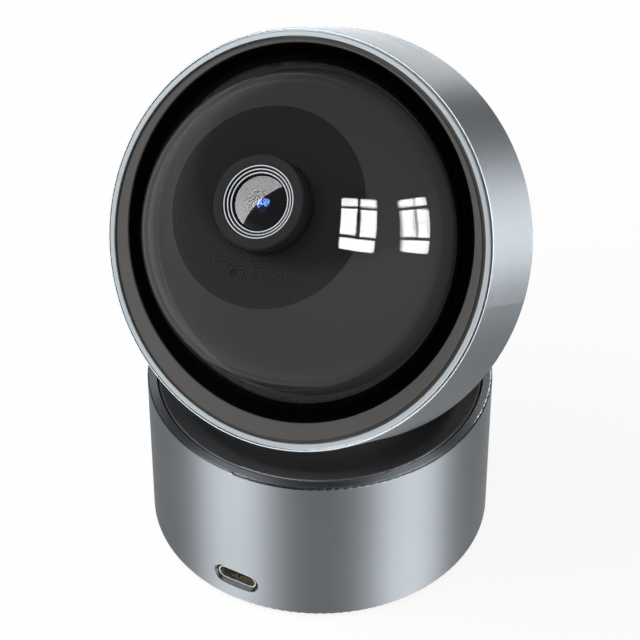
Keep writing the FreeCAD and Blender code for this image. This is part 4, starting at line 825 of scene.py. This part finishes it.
casting = new_material("coated_zinc_casting")
coords = add(casting, "ShaderNodeTexCoord")
pitting = add(casting, "ShaderNodeTexNoise", {
    "Vector": coords.outputs["Object"], "Scale": 1 / pit_size, "Detail": 3.0,
})
tone = add(casting, "ShaderNodeMix", {
    "Factor": pitting.outputs["Fac"], 6: linear("#34363A"), 7: linear("#45484B"),
}, data_type="RGBA")
relief = add(casting, "ShaderNodeBump", {
    "Height": pitting.outputs["Fac"], "Strength": 0.4, "Distance": 0.04 * mm,
})
surface = add(casting, "ShaderNodeBsdfPrincipled", {
    "Base Color": tone.outputs[2], "Roughness": 0.42, "Normal": relief.outputs[0],
})
add(casting, "ShaderNodeOutputMaterial", {"Surface": surface.outputs[0]})
paint(["neck_arm"], casting)

# Head drum
# The same brushed aluminium as the base, but turned on the head's own axis, which is tipped up
# in the photo.

head_tilt = math.radians(32.3)
head_origin = Vector((0.0, 0.0, 72.0 * mm))
head_axis = Vector((0.0, -math.cos(head_tilt), math.sin(head_tilt)))
head_up = Vector((0.0, math.sin(head_tilt), math.cos(head_tilt)))
head_turn = Matrix.Rotation(head_tilt - math.pi / 2, 3, "X")
head_place = {
    "Rotation": (head_tilt - math.pi / 2, 0.0, 0.0),
    "Location": tuple(-(head_turn @ head_origin)),
}
paint(["head_drum"], satin_aluminium("satin_anodised_aluminium_head", head_place,
                                     tuple(head_axis), tuple(head_origin)))

# Trim ring and lens trim
# Aluminium turned with a diamond tool, bright, with fine rings 0.12 mm apart left by the tool.
# The steps of the lens trim are painted dark as shade, so only the crests shine.

turned_ring = 0.12 * mm
turned_variation = 0.06
bright_ring = "#D2D9DD"
bright_trim = "#DDE1E3"
painted_step_shade = "#202224"
trim_radius = 7.15 * mm
trim_pitch = 0.62 * mm
# The middle and the half-width of a crest, and where the painted shade is full, are shares of a step.
crest_middle = 0.32
crest_half_width = 0.1
step_shade_full = 0.24
lens_tilt = head_tilt + math.radians(14.0)
lens_rise = 1.65 * mm
lens_forward = 4.4 * mm

lens_origin = head_origin + head_up * lens_rise + head_axis * lens_forward
lens_turn = Matrix.Rotation(lens_tilt - math.pi / 2, 3, "X")
lens_place = {
    "Rotation": (lens_tilt - math.pi / 2, 0.0, 0.0),
    "Location": tuple(-(lens_turn @ lens_origin)),
}


def distance_from_axis(material, place):
    """How far a point is from the axis that place lays along Z."""
    coords = add(material, "ShaderNodeTexCoord")
    own = add(material, "ShaderNodeMapping", {"Vector": coords.outputs["Object"], **place})
    flat = add(material, "ShaderNodeVectorMath", {
        0: own.outputs[0], 1: (1.0, 1.0, 0.0),
    }, operation="MULTIPLY")
    length = add(material, "ShaderNodeVectorMath", {0: flat.outputs[0]}, operation="LENGTH")
    return length.outputs["Value"]


def turned_aluminium(name, place, colour, roughness, painted_steps=False):
    """Bright aluminium turned on the axis that place lays along Z, with painted shade in its steps or
    none.
    """
    material = new_material(name)
    radius = distance_from_axis(material, place)
    rings = add(material, "ShaderNodeTexNoise", {
        "W": radius, "Scale": 1 / turned_ring, "Detail": 1.0,
    }, noise_dimensions="1D")
    wear = add(material, "ShaderNodeMapRange", {
        "Value": rings.outputs["Fac"],
        "To Min": roughness - turned_variation, "To Max": roughness + turned_variation,
    })
    shade = linear(colour)
    # The steps are painted dark as shade away from the middle of each crest.
    if painted_steps:
        inward = add(material, "ShaderNodeMath", {0: trim_radius, 1: radius}, operation="SUBTRACT")
        steps = add(material, "ShaderNodeMath", {
            0: inward.outputs[0], 1: trim_pitch,
        }, operation="DIVIDE")
        within = add(material, "ShaderNodeMath", {0: steps.outputs[0]}, operation="FRACT")
        offset = add(material, "ShaderNodeMath", {
            0: within.outputs[0], 1: crest_middle,
        }, operation="SUBTRACT")
        off_crest = add(material, "ShaderNodeMath", {0: offset.outputs[0]}, operation="ABSOLUTE")
        step_shade = add(material, "ShaderNodeMapRange", {
            "Value": off_crest.outputs[0], "From Min": crest_half_width, "From Max": step_shade_full,
        }, interpolation_type="SMOOTHSTEP")
        mixed = add(material, "ShaderNodeMix", {
            "Factor": step_shade.outputs[0], 6: shade, 7: linear(painted_step_shade),
        }, data_type="RGBA")
        shade = mixed.outputs[2]
    surface = add(material, "ShaderNodeBsdfPrincipled", {
        "Base Color": shade, "Metallic": 1.0, "Roughness": wear.outputs[0],
    })
    add(material, "ShaderNodeOutputMaterial", {"Surface": surface.outputs[0]})
    return material


paint(["trim_ring"], turned_aluminium("diamond_turned_aluminium_ring", head_place, bright_ring, 0.4))
paint(["lens_trim"], turned_aluminium("diamond_turned_aluminium_lens", lens_place, bright_trim, 0.28,
                                      painted_steps=True))

# Front bezel
# Moulded ABS sprayed grey, dead matt, with the fine texture of the spray. It is narrow above and
# broad below, because its opening is raised.

spray_grain = 0.25 * mm
spray_cloud = 16.7 * mm

grey_paint = new_material("sprayed_grey_abs")
coords = add(grey_paint, "ShaderNodeTexCoord")
spray = add(grey_paint, "ShaderNodeTexNoise", {
    "Vector": coords.outputs["Object"], "Scale": 1 / spray_grain, "Detail": 2.0,
})
cloud = add(grey_paint, "ShaderNodeTexNoise", {
    "Vector": coords.outputs["Object"], "Scale": 1 / spray_cloud, "Detail": 2.0,
})
colour = add(grey_paint, "ShaderNodeMix", {
    "Factor": cloud.outputs["Fac"], 6: linear("#5C5B5A"), 7: linear("#62615F"),
}, data_type="RGBA")
relief = add(grey_paint, "ShaderNodeBump", {
    "Height": spray.outputs["Fac"], "Strength": 0.2, "Distance": 0.01 * mm,
})
surface = add(grey_paint, "ShaderNodeBsdfPrincipled", {
    "Base Color": colour.outputs[2], "Roughness": 0.6, "Specular IOR Level": 0.3,
    "Normal": relief.outputs[0],
})
add(grey_paint, "ShaderNodeOutputMaterial", {"Surface": surface.outputs[0]})
paint(["front_bezel"], grey_paint)

# Dome retainer
# Black ABS, screwed in behind the bezel to clamp the dome, dulled and darkened nearly to pure black
# as painted shade, so that the recess round the dome swallows light.

retainer_grain = 0.286 * mm

painted_recess_shade = new_material("black_abs_painted_recess_shade")
coords = add(painted_recess_shade, "ShaderNodeTexCoord")
grain = add(painted_recess_shade, "ShaderNodeTexNoise", {
    "Vector": coords.outputs["Object"], "Scale": 1 / retainer_grain, "Detail": 2.0,
})
# Colour darkened nearly to pure black: painted shade of the recess.
shade = add(painted_recess_shade, "ShaderNodeMix", {
    "Factor": grain.outputs["Fac"], 6: linear("#010101"), 7: linear("#040404"),
}, data_type="RGBA")
surface = add(painted_recess_shade, "ShaderNodeBsdfPrincipled", {
    "Base Color": shade.outputs[2], "Roughness": 0.5, "Specular IOR Level": 0.02,
})
add(painted_recess_shade, "ShaderNodeOutputMaterial", {"Surface": surface.outputs[0]})
paint(["dome_retainer"], painted_recess_shade)

# Dome window
# Smoked polycarbonate, injection moulded and hard coated: it lets most light through and
# mirrors the room weakly, more so towards its edge.

dome_reflectance = 0.009
dome_edge_reflectance = 0.25
edge_steepness = 5.0
polish_patch = 8.33 * mm

smoked_dome = new_material("smoked_polycarbonate")
facing = add(smoked_dome, "ShaderNodeLayerWeight", {"Blend": 0.5})
steep = add(smoked_dome, "ShaderNodeMath", {
    0: facing.outputs["Facing"], 1: edge_steepness,
}, operation="POWER")
mirror = add(smoked_dome, "ShaderNodeMath", {
    0: steep.outputs[0], 1: dome_edge_reflectance, 2: dome_reflectance,
}, operation="MULTIPLY_ADD")
through = add(smoked_dome, "ShaderNodeBsdfTransparent", {"Color": linear("#E9E9EA")})
coords = add(smoked_dome, "ShaderNodeTexCoord")
polish = add(smoked_dome, "ShaderNodeTexNoise", {
    "Vector": coords.outputs["Object"], "Scale": 1 / polish_patch, "Detail": 2.0,
})
gloss = add(smoked_dome, "ShaderNodeMapRange", {
    "Value": polish.outputs["Fac"], "To Min": 0.0, "To Max": 0.008,
})
shine = add(smoked_dome, "ShaderNodeBsdfAnisotropic", {
    "Color": linear("#FFFFFF"), "Roughness": gloss.outputs[0],
})
mixed = add(smoked_dome, "ShaderNodeMixShader", {
    0: mirror.outputs[0], 1: through.outputs[0], 2: shine.outputs[0],
})
add(smoked_dome, "ShaderNodeOutputMaterial", {"Surface": mixed.outputs[0]})
paint(["dome_window"], smoked_dome)

# Lens shroud
# Black ABS. The disc round the lens is polished black with fine turned rings, and the cone
# outside it is a dull dark grey.

disc_radius = 19.7 * mm
shroud_ring = 0.9 * mm

shroud_abs = new_material("turned_black_abs")
radius = distance_from_axis(shroud_abs, lens_place)
rings = add(shroud_abs, "ShaderNodeTexNoise", {
    "W": radius, "Scale": 1 / shroud_ring, "Detail": 2.0,
}, noise_dimensions="1D")
inside = add(shroud_abs, "ShaderNodeMath", {0: radius, 1: disc_radius}, operation="LESS_THAN")
disc_shade = add(shroud_abs, "ShaderNodeMix", {
    "Factor": rings.outputs["Fac"], 6: linear("#0A0A0A"), 7: linear("#151515"),
}, data_type="RGBA")
shade = add(shroud_abs, "ShaderNodeMix", {
    "Factor": inside.outputs[0], 6: linear("#3E4041"), 7: disc_shade.outputs[2],
}, data_type="RGBA")
sheen = add(shroud_abs, "ShaderNodeMapRange", {"Value": inside.outputs[0], "To Min": 0.6, "To Max": 0.4})
relief = add(shroud_abs, "ShaderNodeBump", {
    "Height": rings.outputs["Fac"], "Strength": 0.2, "Distance": 0.02 * mm,
})
surface = add(shroud_abs, "ShaderNodeBsdfPrincipled", {
    "Base Color": shade.outputs[2], "Roughness": sheen.outputs[0], "Specular IOR Level": 0.12,
    "Normal": relief.outputs[0],
})
add(shroud_abs, "ShaderNodeOutputMaterial", {"Surface": surface.outputs[0]})
paint(["lens_shroud"], shroud_abs)

# Lens barrel
# Aluminium, turned and anodised black, so the flat front is an even dark grey with fine rings. It
# carries both lenses.

barrel_metal = new_material("black_anodised_barrel")
radius = distance_from_axis(barrel_metal, lens_place)
rings = add(barrel_metal, "ShaderNodeTexNoise", {
    "W": radius, "Scale": 1 / turned_ring, "Detail": 1.0,
}, noise_dimensions="1D")
shade = add(barrel_metal, "ShaderNodeMix", {
    "Factor": rings.outputs["Fac"], 6: linear("#1E1F20"), 7: linear("#2A2B2C"),
}, data_type="RGBA")
surface = add(barrel_metal, "ShaderNodeBsdfPrincipled", {
    "Base Color": shade.outputs[2], "Roughness": 0.45, "Specular IOR Level": 0.4,
})
add(barrel_metal, "ShaderNodeOutputMaterial", {"Surface": surface.outputs[0]})
paint(["lens_barrel"], barrel_metal)

# Front lens and inner lens
# Ground and polished glass with a broad coating, whose outer face mirrors the softbox in neutral
# grey. Seen from the view, what shows through it is darkened as painted shade, black round the clear
# middle, where the small lens behind mirrors the lamps in blue. Only the view is dimmed so: light that
# goes in to the sensor isn't.

clear_radius = 2.4 * mm
lens_reflectance = 0.04
lens_edge_reflectance = 0.2
coating_patch = 3.33 * mm
inner_coating_share = 0.5

lens_glass = new_material("coated_lens_glass")
facing = add(lens_glass, "ShaderNodeLayerWeight", {"Blend": 0.5})
reflectance = add(lens_glass, "ShaderNodeMapRange", {
    "Value": facing.outputs["Facing"], "To Min": lens_reflectance, "To Max": lens_edge_reflectance,
})
face = add(lens_glass, "ShaderNodeNewGeometry")
ray = add(lens_glass, "ShaderNodeLightPath")
outer = add(lens_glass, "ShaderNodeMath", {0: 1.0, 1: face.outputs["Backfacing"]}, operation="SUBTRACT")
seen = add(lens_glass, "ShaderNodeMath", {
    0: outer.outputs[0], 1: ray.outputs["Is Camera Ray"],
}, operation="MULTIPLY")
mirror = add(lens_glass, "ShaderNodeMath", {
    0: reflectance.outputs[0], 1: seen.outputs[0],
}, operation="MULTIPLY")
radius = distance_from_axis(lens_glass, lens_place)
clear = add(lens_glass, "ShaderNodeMath", {0: radius, 1: clear_radius}, operation="LESS_THAN")
# Seen from the view, the glass is darkened as painted shade, black round the clear middle.
painted_backing_shade = add(lens_glass, "ShaderNodeMix", {
    "Factor": clear.outputs[0], 6: linear("#000000"), 7: linear("#55575B"),
}, data_type="RGBA")
painted_through_shade = add(lens_glass, "ShaderNodeMix", {
    "Factor": seen.outputs[0], 6: linear("#FFFFFF"), 7: painted_backing_shade.outputs[2],
}, data_type="RGBA")
through = add(lens_glass, "ShaderNodeBsdfTransparent", {"Color": painted_through_shade.outputs[2]})
coords = add(lens_glass, "ShaderNodeTexCoord")
coating = add(lens_glass, "ShaderNodeTexNoise", {
    "Vector": coords.outputs["Object"], "Scale": 1 / coating_patch, "Detail": 1.0,
})
tint = add(lens_glass, "ShaderNodeMix", {
    "Factor": coating.outputs["Fac"], 6: linear("#EDEBEA"), 7: linear("#F6F5F4"),
}, data_type="RGBA")
shine = add(lens_glass, "ShaderNodeBsdfAnisotropic", {"Color": tint.outputs[2], "Roughness": 0.02})
mixed = add(lens_glass, "ShaderNodeMixShader", {
    0: mirror.outputs[0], 1: through.outputs[0], 2: shine.outputs[0],
})
add(lens_glass, "ShaderNodeOutputMaterial", {"Surface": mixed.outputs[0]})
paint(["front_lens"], lens_glass)

blue_coating = new_material("blue_coated_inner_lens")
body = add(blue_coating, "ShaderNodeBsdfPrincipled", {"Base Color": linear("#06080C"), "Roughness": 0.1})
facing = add(blue_coating, "ShaderNodeLayerWeight", {"Blend": 0.5})
coating = add(blue_coating, "ShaderNodeMix", {
    "Factor": facing.outputs["Facing"], 6: linear("#5C9BFF"), 7: linear("#9A7BE8"),
}, data_type="RGBA")
shine = add(blue_coating, "ShaderNodeBsdfAnisotropic", {"Color": coating.outputs[2], "Roughness": 0.16})
mixed = add(blue_coating, "ShaderNodeMixShader", {
    0: inner_coating_share, 1: body.outputs[0], 2: shine.outputs[0],
})
add(blue_coating, "ShaderNodeOutputMaterial", {"Surface": mixed.outputs[0]})
paint(["inner_lens"], blue_coating)

# Image sensor and the head's boards
# The sensor is a black ceramic package with a coated window over the chip, which shimmers
# violet. The boards are as the one in the base.

sensor_half_width = 2.6 * mm
sensor_half_height = 2.0 * mm

sensor_glass = new_material("image_sensor_window")
coords = add(sensor_glass, "ShaderNodeTexCoord")
own = add(sensor_glass, "ShaderNodeMapping", {"Vector": coords.outputs["Object"], **lens_place})
part = add(sensor_glass, "ShaderNodeSeparateXYZ", {0: own.outputs[0]})
across = add(sensor_glass, "ShaderNodeMath", {0: part.outputs["X"]}, operation="ABSOLUTE")
along = add(sensor_glass, "ShaderNodeMath", {0: part.outputs["Y"]}, operation="ABSOLUTE")
in_width = add(sensor_glass, "ShaderNodeMath", {
    0: across.outputs[0], 1: sensor_half_width,
}, operation="LESS_THAN")
in_height = add(sensor_glass, "ShaderNodeMath", {
    0: along.outputs[0], 1: sensor_half_height,
}, operation="LESS_THAN")
on_chip = add(sensor_glass, "ShaderNodeMath", {
    0: in_width.outputs[0], 1: in_height.outputs[0],
}, operation="MULTIPLY")
shade = add(sensor_glass, "ShaderNodeMix", {
    "Factor": on_chip.outputs[0], 6: linear("#17171A"), 7: linear("#3A2C55"),
}, data_type="RGBA")
gloss = add(sensor_glass, "ShaderNodeMapRange", {
    "Value": on_chip.outputs[0], "To Min": 0.5, "To Max": 0.1,
})
surface = add(sensor_glass, "ShaderNodeBsdfPrincipled", {
    "Base Color": shade.outputs[2], "Metallic": on_chip.outputs[0], "Roughness": gloss.outputs[0],
})
add(sensor_glass, "ShaderNodeOutputMaterial", {"Surface": surface.outputs[0]})
paint(["image_sensor"], sensor_glass)
paint(["sensor_board", "infrared_board"], circuit_board("green_circuit_board_head", lens_place))

# Infrared lamps
# Water-clear epoxy lenses cast over the chips, faintly grey, with the bright cup showing inside as
# paler streaks.

streak_size = 2.0 * mm

clear_resin = new_material("water_clear_epoxy")
coords = add(clear_resin, "ShaderNodeTexCoord")
streaks = add(clear_resin, "ShaderNodeTexNoise", {
    "Vector": coords.outputs["Object"], "Scale": 1 / streak_size, "Detail": 2.0, "Distortion": 1.0,
})
tone = add(clear_resin, "ShaderNodeMix", {
    "Factor": streaks.outputs["Fac"], 6: linear("#A9ACAD"), 7: linear("#D3D5D5"),
}, data_type="RGBA")
surface = add(clear_resin, "ShaderNodeBsdfPrincipled", {
    "Base Color": tone.outputs[2], "Roughness": 0.08, "IOR": 1.54, "Coat Weight": 0.5,
})
add(clear_resin, "ShaderNodeOutputMaterial", {"Surface": surface.outputs[0]})
paint(["infrared_lamps"], clear_resin)
